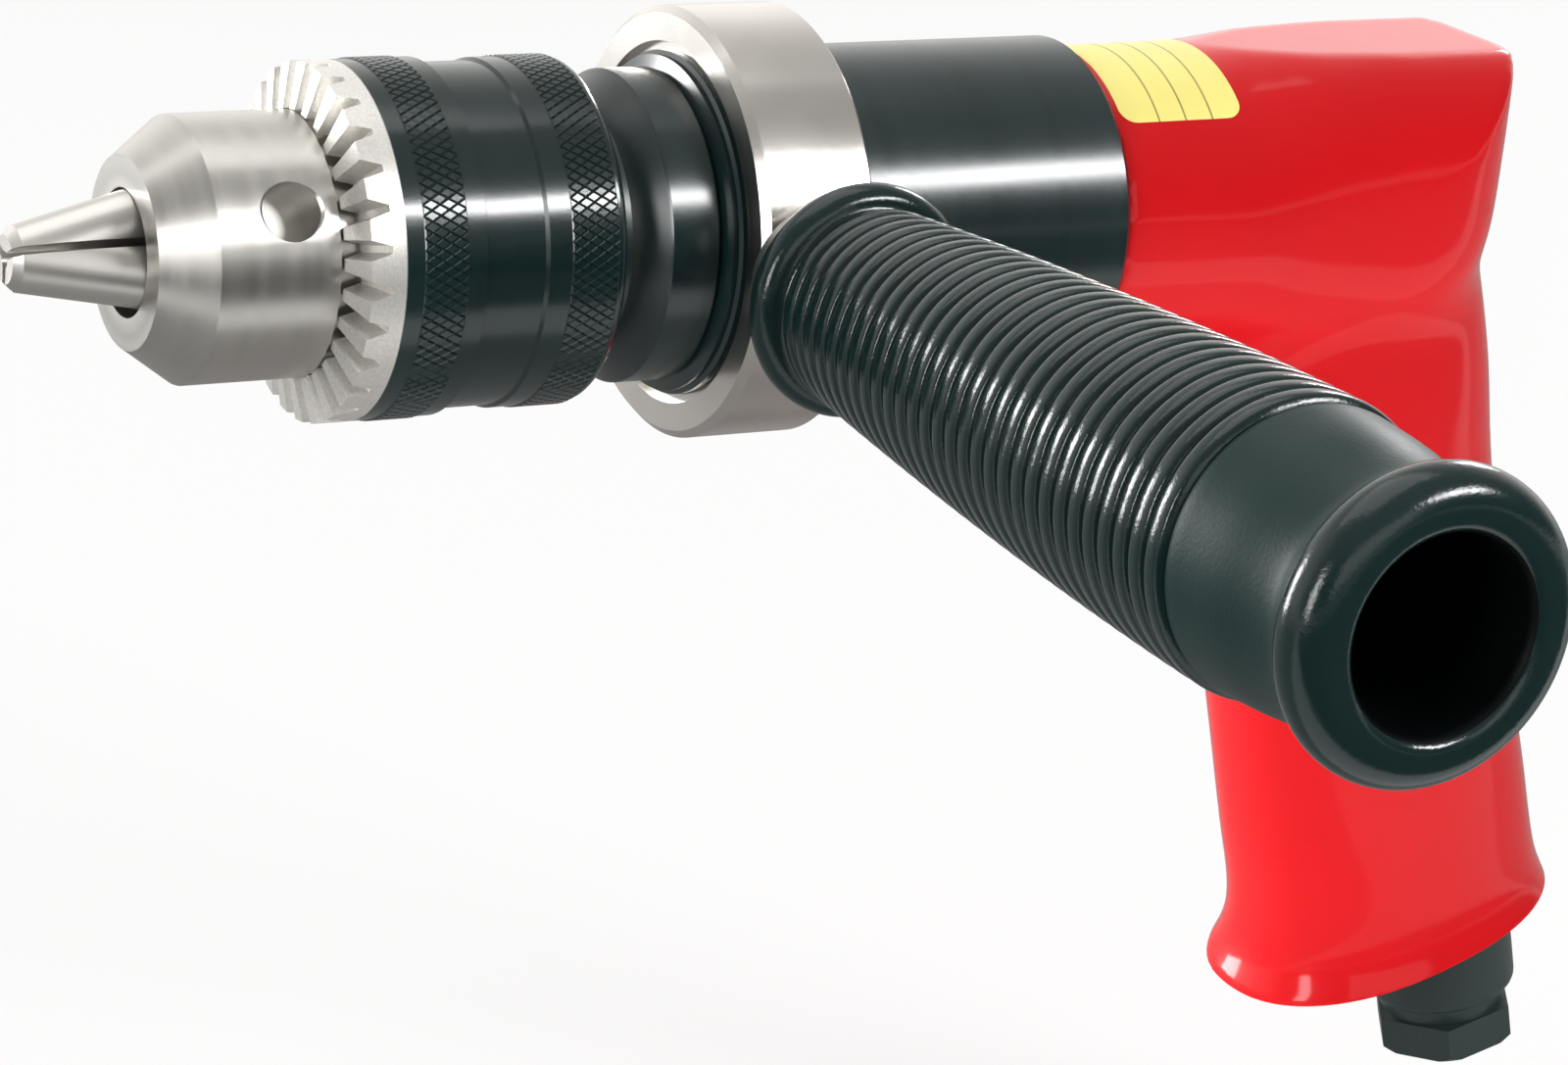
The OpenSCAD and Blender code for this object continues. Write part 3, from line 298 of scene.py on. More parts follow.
def settle(obj, body, material, angle=35):
    """Finishes a new piece: smooth faces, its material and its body."""
    for face in obj.data.polygons:
        face.use_smooth = True
    obj.data.set_sharp_from_angle(angle=math.radians(angle))
    obj.data.materials.clear()
    obj.data.materials.append(material)
    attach(obj, body)


def shield(piece, lamp):
    """Keeps one lamp's glare off a piece."""
    linking = bpy.data.objects[lamp].light_linking
    if linking.receiver_collection is None:
        linking.receiver_collection = bpy.data.collections.new(lamp + "_shielded")
    group = linking.receiver_collection
    group.objects.link(piece)
    for entry in group.collection_objects:
        entry.light_linking.link_state = "EXCLUDE"


def soften(bm, verts):
    bmesh.ops.smooth_vert(bm, verts=verts, factor=0.5, use_axis_x=True, use_axis_y=True, use_axis_z=True)


def everything(bm):
    return bm.verts[:] + bm.edges[:] + bm.faces[:]


def weld(bm, reach=1e-7):
    bmesh.ops.remove_doubles(bm, verts=bm.verts[:], dist=reach)


def slice_off(bm, parts, place, normal, reach=0.0):
    """Cuts away what lies beyond a plane and closes the opening."""
    cut = bmesh.ops.bisect_plane(
        bm, geom=parts, dist=reach, plane_co=place, plane_no=normal, clear_outer=True
    )
    rim = [g for g in cut["geom_cut"] if isinstance(g, bmesh.types.BMEdge)]
    bmesh.ops.holes_fill(bm, edges=rim, sides=0)
    weld(bm)


def outward(bm):
    bmesh.ops.recalc_face_normals(bm, faces=bm.faces[:])


def dress(material, *names):
    for name in names:
        mesh = NODES[name].data
        mesh.materials.clear()
        mesh.materials.append(material)


def eased_copy(node, name, width, material, body):
    """Copy of a CAD node with its edges eased, which stands for the node."""
    bm = bmesh.new()
    bm.from_mesh(NODES[node].data)
    weld(bm, 1e-6)
    bmesh.ops.dissolve_limit(bm, angle_limit=math.radians(1), verts=bm.verts[:], edges=bm.edges[:])
    piece = shaped(bm, name)
    ease = piece.modifiers.new("eased", "BEVEL")
    ease.width = width
    ease.segments = 3
    ease.limit_method = "ANGLE"
    ease.angle_limit = math.radians(40)
    baked(piece)
    settle(piece, body, material)
    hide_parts(node)


# Shader effects shared by the finishes

STREAK_SHARE = 0.16

# Colour sockets of a mix node
MIX_A = 6
MIX_B = 7
MIX_RESULT = 2


def effect(name, inputs, outputs):
    group = bpy.data.node_groups.new(name, "ShaderNodeTree")
    for label, value in inputs:
        socket = group.interface.new_socket(name=label, in_out="INPUT", socket_type="NodeSocketFloat")
        socket.default_value = value
    for label in outputs:
        group.interface.new_socket(name=label, in_out="OUTPUT", socket_type="NodeSocketFloat")
    return group, group.nodes.new("NodeGroupInput"), group.nodes.new("NodeGroupOutput")


def maths(tree, operation, a, b=None):
    node = tree.nodes.new("ShaderNodeMath")
    node.operation = operation
    for socket, value in zip(node.inputs, (a, b)):
        if value is None:
            continue
        if isinstance(value, (int, float)):
            socket.default_value = value
        else:
            tree.links.new(value, socket)
    return node.outputs[0]


def noise(tree, vector, scale, detail, rough=0.5):
    node = tree.nodes.new("ShaderNodeTexNoise")
    node.inputs["Detail"].default_value = detail
    node.inputs["Roughness"].default_value = rough
    tree.links.new(vector, node.inputs["Vector"])
    tree.links.new(scale, node.inputs["Scale"])
    return node.outputs["Fac"]


def axes(tree, space="Object"):
    place = tree.nodes.new("ShaderNodeTexCoord")
    split = tree.nodes.new("ShaderNodeSeparateXYZ")
    tree.links.new(place.outputs[space], split.inputs[0])
    return split.outputs


def make_turned_lines():
    """Tool marks that run round the spindle, on cylinders and on faces."""
    group, given, result = effect(
        "turned_lines", [("Pitch", 5000.0), ("Waver", 0.02)], ["Height", "Streaks"]
    )
    x, y, z = axes(group)
    square = maths(group, "ADD", maths(group, "MULTIPLY", y, y), maths(group, "MULTIPLY", z, z))
    radius = maths(group, "SQRT", square)
    join = group.nodes.new("ShaderNodeCombineXYZ")
    group.links.new(x, join.inputs[0])
    group.links.new(radius, join.inputs[1])
    group.links.new(maths(group, "MULTIPLY", z, given.outputs["Waver"]), join.inputs[2])
    group.links.new(noise(group, join.outputs[0], given.outputs["Pitch"], 3), result.inputs["Height"])
    coarse = maths(group, "MULTIPLY", given.outputs["Pitch"], STREAK_SHARE)
    group.links.new(noise(group, join.outputs[0], coarse, 2), result.inputs["Streaks"])
    return group


def make_grain():
    """Fine even grain, with a broad cloudiness beside it."""
    group, given, result = effect("grain", [("Fine", 3000.0), ("Broad", 40.0)], ["Height", "Cloud"])
    place = group.nodes.new("ShaderNodeTexCoord")
    group.links.new(
        noise(group, place.outputs["Object"], given.outputs["Fine"], 3, 0.6), result.inputs["Height"]
    )
    group.links.new(
        noise(group, place.outputs["Object"], given.outputs["Broad"], 4, 0.55), result.inputs["Cloud"]
    )
    return group


EFFECTS = {}


class Shading:
    """A shader tree that is being wired."""

    def __init__(self, tree):
        self.tree = tree

    def spread(self, source, low, high, start=0.25, end=0.75, ease="SMOOTHSTEP"):
        node = self.tree.nodes.new("ShaderNodeMapRange")
        node.interpolation_type = ease
        node.inputs["From Min"].default_value = start
        node.inputs["From Max"].default_value = end
        node.inputs["To Min"].default_value = low
        node.inputs["To Max"].default_value = high
        self.tree.links.new(source, node.inputs["Value"])
        return node.outputs["Result"]

    def tint(self, source, a, b):
        node = self.tree.nodes.new("ShaderNodeMix")
        node.data_type = "RGBA"
        self.tree.links.new(source, node.inputs["Factor"])
        for socket, colour in ((node.inputs[MIX_A], a), (node.inputs[MIX_B], b)):
            if isinstance(colour, (tuple, list)):
                socket.default_value = (*colour, 1)
            else:
                self.tree.links.new(colour, socket)
        return node.outputs[MIX_RESULT]


class Finish(Shading):
    """One material: a Principled shader with the shared effects in front of it."""

    def __init__(self, name, colour, metallic, roughness, **sockets):
        self.material = bpy.data.materials.new(name)
        self.material.use_nodes = True
        super().__init__(self.material.node_tree)
        self.shader = self.tree.nodes["Principled BSDF"]
        self.shader.inputs["Base Color"].default_value = (*colour, 1)
        self.shader.inputs["Metallic"].default_value = metallic
        self.shader.inputs["Roughness"].default_value = roughness
        for label, value in sockets.items():
            self.shader.inputs[label.replace("_", " ").title().replace("Ior", "IOR")].default_value = value

    def link(self, source, target):
        self.tree.links.new(source, self.shader.inputs[target])

    def use(self, name, **values):
        node = self.tree.nodes.new("ShaderNodeGroup")
        node.node_tree = EFFECTS[name]
        for label, value in values.items():
            node.inputs[label].default_value = value
        return node

    def mottle(self, source, colour, share):
        """Clouds a colour with a darker share of itself."""
        return self.tint(self.spread(source, 0, 1), shade(colour, share), tuple(colour))

    def bump(self, source, distance, strength=1.0):
        node = self.tree.nodes.new("ShaderNodeBump")
        node.inputs["Distance"].default_value = distance
        node.inputs["Strength"].default_value = strength
        self.tree.links.new(source, node.inputs["Height"])
        self.link(node.outputs["Normal"], "Normal")

    def along(self, axis):
        return axes(self.tree)[axis]


def shade(colour, share):
    return tuple(c * share for c in colour)


def turned_steel(name, colour, roughness, pitch, depth, spread=0.025):
    finish = Finish(name, colour, 1.0, roughness)
    lines = finish.use("turned_lines", Pitch=pitch)
    finish.link(finish.mottle(lines.outputs["Streaks"], colour, 0.96), "Base Color")
    finish.link(finish.spread(lines.outputs["Streaks"], roughness - spread, roughness + spread), "Roughness")
    finish.bump(lines.outputs["Height"], depth)
    return finish.material


def grained(name, colour, metallic, roughness, fine, depth, spread=0.06, **sockets):
    finish = Finish(name, colour, metallic, roughness, **sockets)
    grain = finish.use("grain", Fine=fine)
    finish.link(finish.mottle(grain.outputs["Cloud"], colour, 0.88), "Base Color")
    finish.link(finish.spread(grain.outputs["Cloud"], roughness - spread, roughness + spread), "Roughness")
    finish.bump(grain.outputs["Height"], depth)
    return finish.material


# Finishes of this drill

# Half the width of the line between two finishes on one piece
EDGE = 0.0001

# Places of the label's ruled lines as shares of its length, half their width, and their colour
RULED_PLACES = (0.3, 0.52, 0.74)
RULED_HALF = 0.008
RULED_COLOUR = (0.3, 0.26, 0.06)


def sleeve_finish(looks):
    """Bare grainy steel on the key teeth, black oxide behind them."""
    finish = Finish("sleeve_two_tone", tuple(looks.oxide), 0.0, 0.2, specular_ior_level=0.65)
    edge = finish.along("X")
    bare = finish.spread(edge, 1, 0, looks.silver_end - EDGE, looks.silver_end + EDGE, "LINEAR")
    grain = finish.use("grain", Fine=2600.0, Broad=60.0)
    steel = finish.mottle(grain.outputs["Height"], looks.tooth_steel, 0.84)
    black = finish.mottle(grain.outputs["Cloud"], looks.oxide, 0.7)
    finish.link(finish.tint(bare, black, steel), "Base Color")
    finish.link(finish.spread(bare, 0, 0.8, 0, 1, "LINEAR"), "Metallic")
    finish.link(finish.spread(bare, 0.18, 0.4, 0, 1), "Roughness")
    rough = finish.spread(bare, 0.1, 1, 0, 1, "LINEAR")
    finish.bump(maths(finish.tree, "MULTIPLY", grain.outputs["Height"], rough), 0.00004)
    return finish.material


def vinyl_finish(name, colour, roughness, shine):
    """Moulded vinyl with a faint grain and a cloudy gloss."""
    return grained(
        name, colour, metallic=0.0, roughness=roughness, fine=2200, depth=0.00003, spread=0.035,
        specular_ior_level=shine,
    )


def label_finish(looks, start, end):
    """Blank yellow film with a few plain ruled lines across it."""
    finish = Finish("label_film", tuple(looks.label), 0.0, 0.35)
    along = finish.along("X")
    share = finish.spread(along, 0, 1, start, end, "LINEAR")
    lines = None
    for place in RULED_PLACES:
        near = maths(finish.tree, "ABSOLUTE", maths(finish.tree, "SUBTRACT", share, place))
        line = maths(finish.tree, "LESS_THAN", near, RULED_HALF)
        lines = line if lines is None else maths(finish.tree, "MAXIMUM", lines, line)
    grain = finish.use("grain", Fine=2500.0, Broad=90.0)
    film = finish.mottle(grain.outputs["Cloud"], looks.label, 0.93)
    finish.link(finish.tint(lines, film, RULED_COLOUR), "Base Color")
    finish.link(finish.spread(grain.outputs["Cloud"], 0.3, 0.42), "Roughness")
    finish.bump(grain.outputs["Height"], 0.00001)
    return finish.material


def paint_finish(looks):
    """Glossy red enamel over a casting, with a light orange peel."""
    finish = Finish(
        "red_enamel", tuple(looks.paint), metallic=0.0, roughness=0.4,
        coat_weight=1.0, coat_roughness=0.1, coat_ior=1.29, specular_ior_level=0.08,
    )
    grain = finish.use("grain", Fine=260.0, Broad=30.0)
    finish.link(finish.mottle(grain.outputs["Cloud"], looks.paint, 0.95), "Base Color")
    finish.link(finish.spread(grain.outputs["Cloud"], 0.36, 0.46), "Roughness")
    finish.bump(grain.outputs["Height"], 0.00006, 0.2)
    return finish.material


# Operators


class DRILL_OT_effects(bpy.types.Operator):
    """Build the shader effects that several finishes share"""

    bl_idname = "drill.effects"
    bl_label = "Shared effects"

    def execute(self, context):
        EFFECTS["turned_lines"] = make_turned_lines()
        EFFECTS["grain"] = make_grain()
        return {"FINISHED"}


class DRILL_OT_studio(bpy.types.Operator):
    """Set up the camera, the floor, the lamps, the cards and the air"""

    bl_idname = "drill.studio"
    bl_label = "Studio and camera"

    floor_half = 12
    paper_glow = 0.9
    glow_share = 0.8
    aim = (0.11, -0.03, -0.02)
    # Name, direction, distance, width, height and power of each lamp
    lamp_table = (
        ("lamp_right", (0.5, -0.685, 0.53), 1.1, 0.5, 0.15, 8),
        ("lamp_top", (-0.1, 0.25, 1.0), 1.3, 1.2, 1.2, 6),
        ("lamp_left", (-0.85, -0.35, 0.2), 1.3, 0.25, 0.5, 5),
        ("lamp_front", (-0.1, -1.0, 0.3), 1.6, 1.4, 0.6, 3),
        ("lamp_back_left", (-0.55, 0.8, 0.08), 1.3, 0.3, 0.5, 10),
        ("lamp_back_right", (0.72, 0.58, 0.38), 1.3, 0.25, 0.25, 3),
    )
    # Name, near edge, far edge and grey level of each card
    card_table = (("black_card", -2.2, -0.233, 0.02), ("grey_card", -0.117, 1.05, 0.22))
    card_half = 1.2
    card_middle = 0.2
    card_lift = 0.0002
    # Height and brightness of each stop, from below to above
    room_stops = ((0.5, 0.04), (0.62, 0.09), (0.8, 0.22), (1.0, 0.32))
    wall_stops = ((0.45, 0.8), (0.7, 0.76), (0.9, 0.38), (1.0, 0.32))
    wall_start = -0.15
    wall_end = 0.45
    air_strength = 1.6
    warmth = (1, 0.985, 0.96)

    def execute(self, context):
        looks = context.scene.drill_studio
        scene = context.scene
        scene.view_settings.view_transform = "Standard"
        self.camera(scene, looks)
        self.floor(looks)
        self.lamps(scene)
        self.cards(looks)
        self.world(scene)
        return {"FINISHED"}

    def camera(self, scene, looks):
        a, e, r = (math.radians(v) for v in (looks.azimuth, looks.elevation, looks.roll))
        back = Vector((math.sin(a) * math.cos(e), -math.cos(a) * math.cos(e), math.sin(e)))
        level = Vector((math.cos(a), math.sin(a), 0))
        upright = back.cross(level)
        right = level * math.cos(r) + upright * math.sin(r)
        top = upright * math.cos(r) - level * math.sin(r)
        turned = Matrix((right, top, back)).transposed().to_4x4()
        data = bpy.data.cameras.new("camera")
        data.sensor_fit = "HORIZONTAL"
        data.sensor_width = 36
        data.lens = looks.lens
        data.clip_start = 0.01
        data.clip_end = 100
        camera = bpy.data.objects.new("camera", data)
        camera.matrix_world = Matrix.Translation(looks.place) @ turned
        scene.collection.objects.link(camera)
        scene.camera = camera

    def floor(self, looks):
        bm = bmesh.new()
        bmesh.ops.create_grid(bm, x_segments=1, y_segments=1, size=self.floor_half)
        bmesh.ops.translate(bm, verts=bm.verts[:], vec=(0, 0, CAD_BOX[0][2] - looks.floor_drop))
        floor = shaped(bm, "floor")
        material = bpy.data.materials.new("floor_paper")
        material.use_nodes = True
        tree = material.node_tree
        tree.nodes.clear()
        output = tree.nodes.new("ShaderNodeOutputMaterial")
        paper = tree.nodes.new("ShaderNodeBsdfDiffuse")
        paper.inputs["Color"].default_value = (*looks.floor, 1)
        glow = tree.nodes.new("ShaderNodeEmission")
        glow.inputs["Color"].default_value = (self.paper_glow, self.paper_glow, self.paper_glow, 1)
        rays = tree.nodes.new("ShaderNodeLightPath")
        seen = maths(tree, "MAXIMUM", rays.outputs["Is Camera Ray"], rays.outputs["Is Glossy Ray"])
        seen = maths(tree, "MAXIMUM", seen, rays.outputs["Is Transmission Ray"])
        mix = tree.nodes.new("ShaderNodeMixShader")
        tree.links.new(maths(tree, "MULTIPLY", seen, self.glow_share), mix.inputs[0])
        tree.links.new(paper.outputs[0], mix.inputs[1])
        tree.links.new(glow.outputs[0], mix.inputs[2])
        tree.links.new(mix.outputs[0], output.inputs[0])
        floor.data.materials.append(material)

    def lamps(self, scene):
        for name, direction, distance, width, height, watts in self.lamp_table:
            data = bpy.data.lights.new(name, "AREA")
            data.shape = "RECTANGLE"
            data.size = width
            data.size_y = height
            data.energy = watts
            lamp = bpy.data.objects.new(name, data)
            lamp.visible_camera = False
            towards = Vector(direction).normalized()
            turned = towards.to_track_quat("Z", "Y").to_matrix().to_4x4()
            lamp.matrix_world = Matrix.Translation(Vector(self.aim) + towards * distance) @ turned
            scene.collection.objects.link(lamp)

    def cards(self, looks):
        """Dark and grey cards on the pale paper, which only the polished faces reflect."""
        height = CAD_BOX[0][2] - looks.floor_drop + self.card_lift
        for name, start, end, level in self.card_table:
            bm = bmesh.new()
            bmesh.ops.create_grid(bm, x_segments=1, y_segments=1, size=1)
            bmesh.ops.scale(bm, verts=bm.verts[:], vec=(self.card_half, (end - start) / 2, 1))
            bmesh.ops.translate(bm, verts=bm.verts[:], vec=(self.card_middle, (start + end) / 2, height))
            card = shaped(bm, name)
            matt = Finish(name, (level, level, level), metallic=0.0, roughness=0.9)
            card.data.materials.append(matt.material)
            card.visible_camera = False
            card.visible_diffuse = False
            card.visible_shadow = False

    def world(self, scene):
        """Bright wall behind the drill, dim room in front of it."""
        world = bpy.data.worlds.new("studio_air")
        scene.world = world
        world.use_nodes = True
        tree = world.node_tree
        air = Shading(tree)
        _, back, height = axes(tree, "Generated")
        half = maths(tree, "ADD", maths(tree, "MULTIPLY", height, 0.5), 0.5)
        room = self.ramp(tree, half, self.room_stops)
        wall = self.ramp(tree, half, self.wall_stops)
        behind = air.spread(back, 0, 1, self.wall_start, self.wall_end)
        shine = tree.nodes["Background"]
        tree.links.new(air.tint(behind, room, wall), shine.inputs["Color"])
        shine.inputs["Strength"].default_value = self.air_strength

    def ramp(self, tree, source, stops):
        node = tree.nodes.new("ShaderNodeValToRGB")
        tree.links.new(source, node.inputs[0])
        elements = node.color_ramp.elements
        while len(elements) < len(stops):
            elements.new(0.5)
        for element, (position, level) in zip(elements, stops):
            element.position = position
            element.color = (*shade(self.warmth, level), 1)
        return node.outputs[0]


class DRILL_OT_chuck(bpy.types.Operator):
    """Finish the jaws, the nose and the sleeve, and roll the two knurled bands"""

    bl_idname = "drill.chuck"
    bl_label = "Chuck"

    jaw_shade = 1.12
    # Name, start, end and radius of each knurled band
    bands = (("knurl_front", 0.0418, 0.0472, 0.0208), ("knurl_rear", 0.0602, 0.0662, 0.02045))
    crest_share = 1.02
    facet_angle = 5

    def execute(self, context):
        looks = context.scene.drill_chuck
        ground = turned_steel("chuck_ground", tuple(looks.steel), roughness=0.3, pitch=5200, depth=0.0000015)
        dress(ground, "chuck_body")
        bright = shade(looks.steel, self.jaw_shade)
        jaw = grained("jaw_ground", bright, metallic=1.0, roughness=0.36, fine=4200, depth=0.00001)
        dress(jaw, "jaw_top", "jaw_left", "jaw_right")
        sleeve = sleeve_finish(looks)
        dress(sleeve, "chuck_sleeve")
        for band in self.bands:
            self.knurl(looks, sleeve, *band)
        return {"FINISHED"}

    def knurl(self, looks, material, name, start, end, radius):
        """Raises a band of small diamonds, each shrunk away from its neighbours."""
        count = looks.knurl_count * 2
        rows = round((end - start) / looks.knurl_length * 2)
        bm = bmesh.new()
        ring = ring_of(bm, count)
        for k, vert in enumerate(ring):
            angle = math.tau * k / count
            vert.co = (start, radius * math.sin(angle), radius * math.cos(angle))
        layer = edges_of(ring)
        row_of = {vert: (0, k) for k, vert in enumerate(ring)}
        for row in range(1, rows + 1):
            made = bmesh.ops.extrude_edge_only(bm, edges=layer)["geom"]
            verts = [g for g in made if isinstance(g, bmesh.types.BMVert)]
            bmesh.ops.translate(bm, verts=verts, vec=((end - start) / rows, 0, 0))
            for vert in verts:
                angle = math.atan2(vert.co.y, vert.co.z) % math.tau
                row_of[vert] = (row, round(angle / math.tau * count) % count)
            layer = edges_of(verts)
        tops = [vert for vert, (row, k) in row_of.items() if (row + k) % 2 == 0]
        for vert in tops:
            vert.co.y *= self.crest_share
            vert.co.z *= self.crest_share
        bmesh.ops.triangulate(bm, faces=bm.faces[:], quad_method="SHORT_EDGE")
        bmesh.ops.dissolve_verts(bm, verts=tops)
        outward(bm)
        bmesh.ops.inset_individual(
            bm, faces=bm.faces[:], thickness=looks.knurl_groove / 2, depth=looks.knurl_height,
            use_even_offset=True,
        )
        outward(bm)
        piece = shaped(bm, name)
        settle(piece, "sleeve_body", material, self.facet_angle)


class DRILL_OT_gear_case(bpy.types.Operator):
    """Finish the turned gear case"""

    bl_idname = "drill.gear_case"
    bl_label = "Gear case"

    dull_end = 0.0738
    cone_roughness = 0.33
    barrel_roughness = 0.23
    oxide = (0.005, 0.015, 0.016)
    oxide_deep = (0.0035, 0.012, 0.0125)
    oxide_pale = (0.005, 0.016, 0.017)

    def execute(self, context):
        finish = Finish("barrel_oxide", self.oxide, 0.0, self.barrel_roughness, specular_ior_level=0.7)
        lines = finish.use("turned_lines", Pitch=2600.0)
        streaks = lines.outputs["Streaks"]
        streaked = finish.tint(finish.spread(streaks, 0, 1), self.oxide_deep, self.oxide_pale)
        finish.link(streaked, "Base Color")
        worn = finish.spread(streaks, -0.02, 0.02)
        dull = finish.spread(
            finish.along("X"), self.cone_roughness, self.barrel_roughness,
            self.dull_end - EDGE, self.dull_end + EDGE, "LINEAR",
        )
        finish.link(maths(finish.tree, "ADD", worn, dull), "Roughness")
        finish.bump(lines.outputs["Height"], 0.0000015)
        dress(finish.material, "gear_case")
        return {"FINISHED"}


class DRILL_OT_housing(bpy.types.Operator):
    """Cast the body and the grip in one smooth skin, and lay the label on it"""

    bl_idname = "drill.housing"
    bl_label = "Housing and label"

    half_w = 0.019
    half_h = 0.0204
    flat_top = 0.01935
    front = 0.1355
    length = 0.0625
    grip_x = 0.1748
    grip_rake = math.radians(14.1)
    grip_d = 0.021
    grip_w = 0.016
    grip_len = 0.1095
    flow_steps = 6
    body_points = 120
    # Place along the body, width, height and squareness of each section
    body_shares = (
        (0, 1.005, 0.936, 2), (0.14, 1.01, 0.941, 2), (0.29, 1.016, 0.946, 2), (0.4, 1.005, 0.968, 2.2),
        (0.5, 1, 0.988, 2.45), (0.62, 0.995, 1, 2.6), (0.7, 0.99, 1.008, 2.7),
    )
    rear_corner = 0.0148
    rear_under = 0.02
    rear_keel = 0.0025
    rear_width = 0.99
    rear_height = 1.01
    rear_squareness = 2.7
    rear_steps = 18
    grip_points = 96
    grip_squareness = 2.25
    # Place along the grip, depth, width and shift of each section
    grip_shares = (
        (0.055, 0.96, 0.9, 0.03), (0.128, 1.005, 0.965, 0.045), (0.2, 1.02, 0.99, 0.035),
        (0.274, 1.02, 1, 0.02), (0.36, 1.005, 1, 0.005), (0.457, 1, 1, 0), (0.685, 1.014, 1, 0.014),
        (0.81, 1.03, 1.01, 0.03), (0.886, 1.03, 1.025, 0.04), (0.93, 1.05, 1.045, 0.0375),
        (0.96, 1.095, 1.09, 0.028), (0.98, 1.14, 1.14, 0.012), (0.993, 1.178, 1.178, -0.002),
        (1, 1.185, 1.185, -0.005), (1.04, 1.2, 1.2, -0.01),
    )
    base_round = 0.0009
    base_tilt = math.radians(4)
    base_front = 1.19
    base_reach = 0.002
    base_below = -0.08
    base_flat = 1e-6
    spigot_start = 0.1258
    spigot_end = 0.1365
    spigot_r = 0.0188
    # Start, end, height and radius: motor, trigger rod, rod tip, reverse valve
    spindle_bores = (
        (0.12, 0.1882, 0, 0.01702), (0.12, 0.17784, -0.038, 0.00342), (0.17, 0.1934, -0.038, 0.0022),
        (0.12, 0.18508, -0.026, 0.00405),
    )
    # Place across, side, start, end and radius: inlet stem, inlet collar, valve, air passage,
    # exhaust pocket, exhaust screw, both exhaust passages
    grip_bores = (
        (0.0088, 0, 0.097, 0.15, 0.00905), (0.0088, 0, 0.1061, 0.15, 0.01035),
        (0.0088, 0, 0.05, 0.098, 0.0065), (0.0088, 0, 0.024, 0.051, 0.006),
        (-0.0102, 0, 0.096, 0.13, 0.008), (-0.0102, 0, 0.0905, 0.1, 0.00122),
        (-0.0095, 0.0086, 0.01, 0.097, 0.0038), (-0.0095, -0.0086, 0.01, 0.097, 0.0038),
    )
    label_start = 0.1365
    label_end = 0.1539
    label_r = 0.0193
    label_half_angle = math.radians(46)
    label_corner = 0.0022
    label_cells = 40
    label_probe = 0.03
    label_lift = 0.00004
    label_film = 0.00018
    smooth_angle = 50

    def execute(self, context):
        looks = context.scene.drill_housing
        shell = self.skin(looks)
        self.label(looks, shell)
        self.hollow(shell)
        settle(shell, "drill_body", paint_finish(looks), self.smooth_angle)
        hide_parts("housing")
        shield(shell, "lamp_right")
        return {"FINISHED"}

    def in_grip(self, u, t, side=0.0):
        c, s = math.cos(self.grip_rake), math.sin(self.grip_rake)
        return Vector((self.grip_x + u * c + t * s, side, u * s - t * c))

    def section(self, x, w, limit, h, keel, n):
        """Ring of the body: a squared oval whose upper half stays inside the plan's limit."""
        ring = []
        for k in range(self.body_points):
            q = math.tau * k / self.body_points
            across, rise = power(math.cos(q), 2 / n), power(math.sin(q), 2 / n)
            if rise < 0:
                ring.append(Vector((x, limit * across, keel * rise)))
            else:
                ring.append(Vector((x, max(-limit, min(limit, w * across)), h * rise)))
        return ring

    def body(self):
        bm = bmesh.new()
        sections = []
        for s, w, h, n in flow(self.body_shares, self.flow_steps):
            across, tall = self.half_w * w, self.half_h * h
            sections.append(self.section(self.front + self.length * s, across, across, tall, tall, n))
        across, tall = self.half_w * self.rear_width, self.half_h * self.rear_height
        for k in range(self.rear_steps + 1):
            q = math.radians(90 * k / self.rear_steps)
            back = self.rear_corner * (1 - math.sin(q))
            limit = across - self.rear_corner * (1 - math.cos(q))
            rise = 1 - back / self.rear_under
            keel = max(self.rear_keel, tall * math.sqrt(max(0, 1 - rise * rise)))
            x = self.front + self.length - back
            sections.append(self.section(x, across, limit, tall, keel, self.rear_squareness))
        loft(bm, sections)
        slice_off(bm, everything(bm), UP * self.flat_top, UP)
        outward(bm)
        return shaped(bm, "housing_body")

    def grip(self):
        bm = bmesh.new()
        sections = []
        for s, d, w, shift in flow(self.grip_shares, self.flow_steps):
            ring = []
            for k in range(self.grip_points):
                q = math.tau * k / self.grip_points
                u = self.grip_d * (shift + d * power(math.cos(q), 2 / self.grip_squareness))
                side = self.grip_w * w * power(math.sin(q), 2 / self.grip_squareness)
                ring.append(self.in_grip(u, self.grip_len * s, side))
            sections.append(ring)
        loft(bm, sections)
        outward(bm)
        return shaped(bm, "housing_grip")

    def skin(self, looks):
        """Joins body and grip, and smooths most where the two skins lie close together."""
        shell, grip = self.body(), self.grip()
        shell.name = "housing_shell"
        graph = bpy.context.evaluated_depsgraph_get()
        skins = [BVHTree.FromObject(part, graph) for part in (shell, grip)]
        combine(shell, grip, "UNION")
        grid = shell.modifiers.new("skin", "REMESH")
        grid.mode = "VOXEL"
        grid.voxel_size = looks.grain
        baked(shell)
        bm = bmesh.new()
        bm.from_mesh(shell.data)
        apart = {v: sum(skin.find_nearest(v.co)[3] for skin in skins) / looks.blend_reach for v in bm.verts}
        for k in range(looks.blend):
            soften(bm, [v for v, share in apart.items() if share < 1 - k / looks.blend])
        for _ in range(looks.soften):
            soften(bm, bm.verts[:])
        self.trim(bm)
        bm.to_mesh(shell.data)
        bm.free()
        return shell

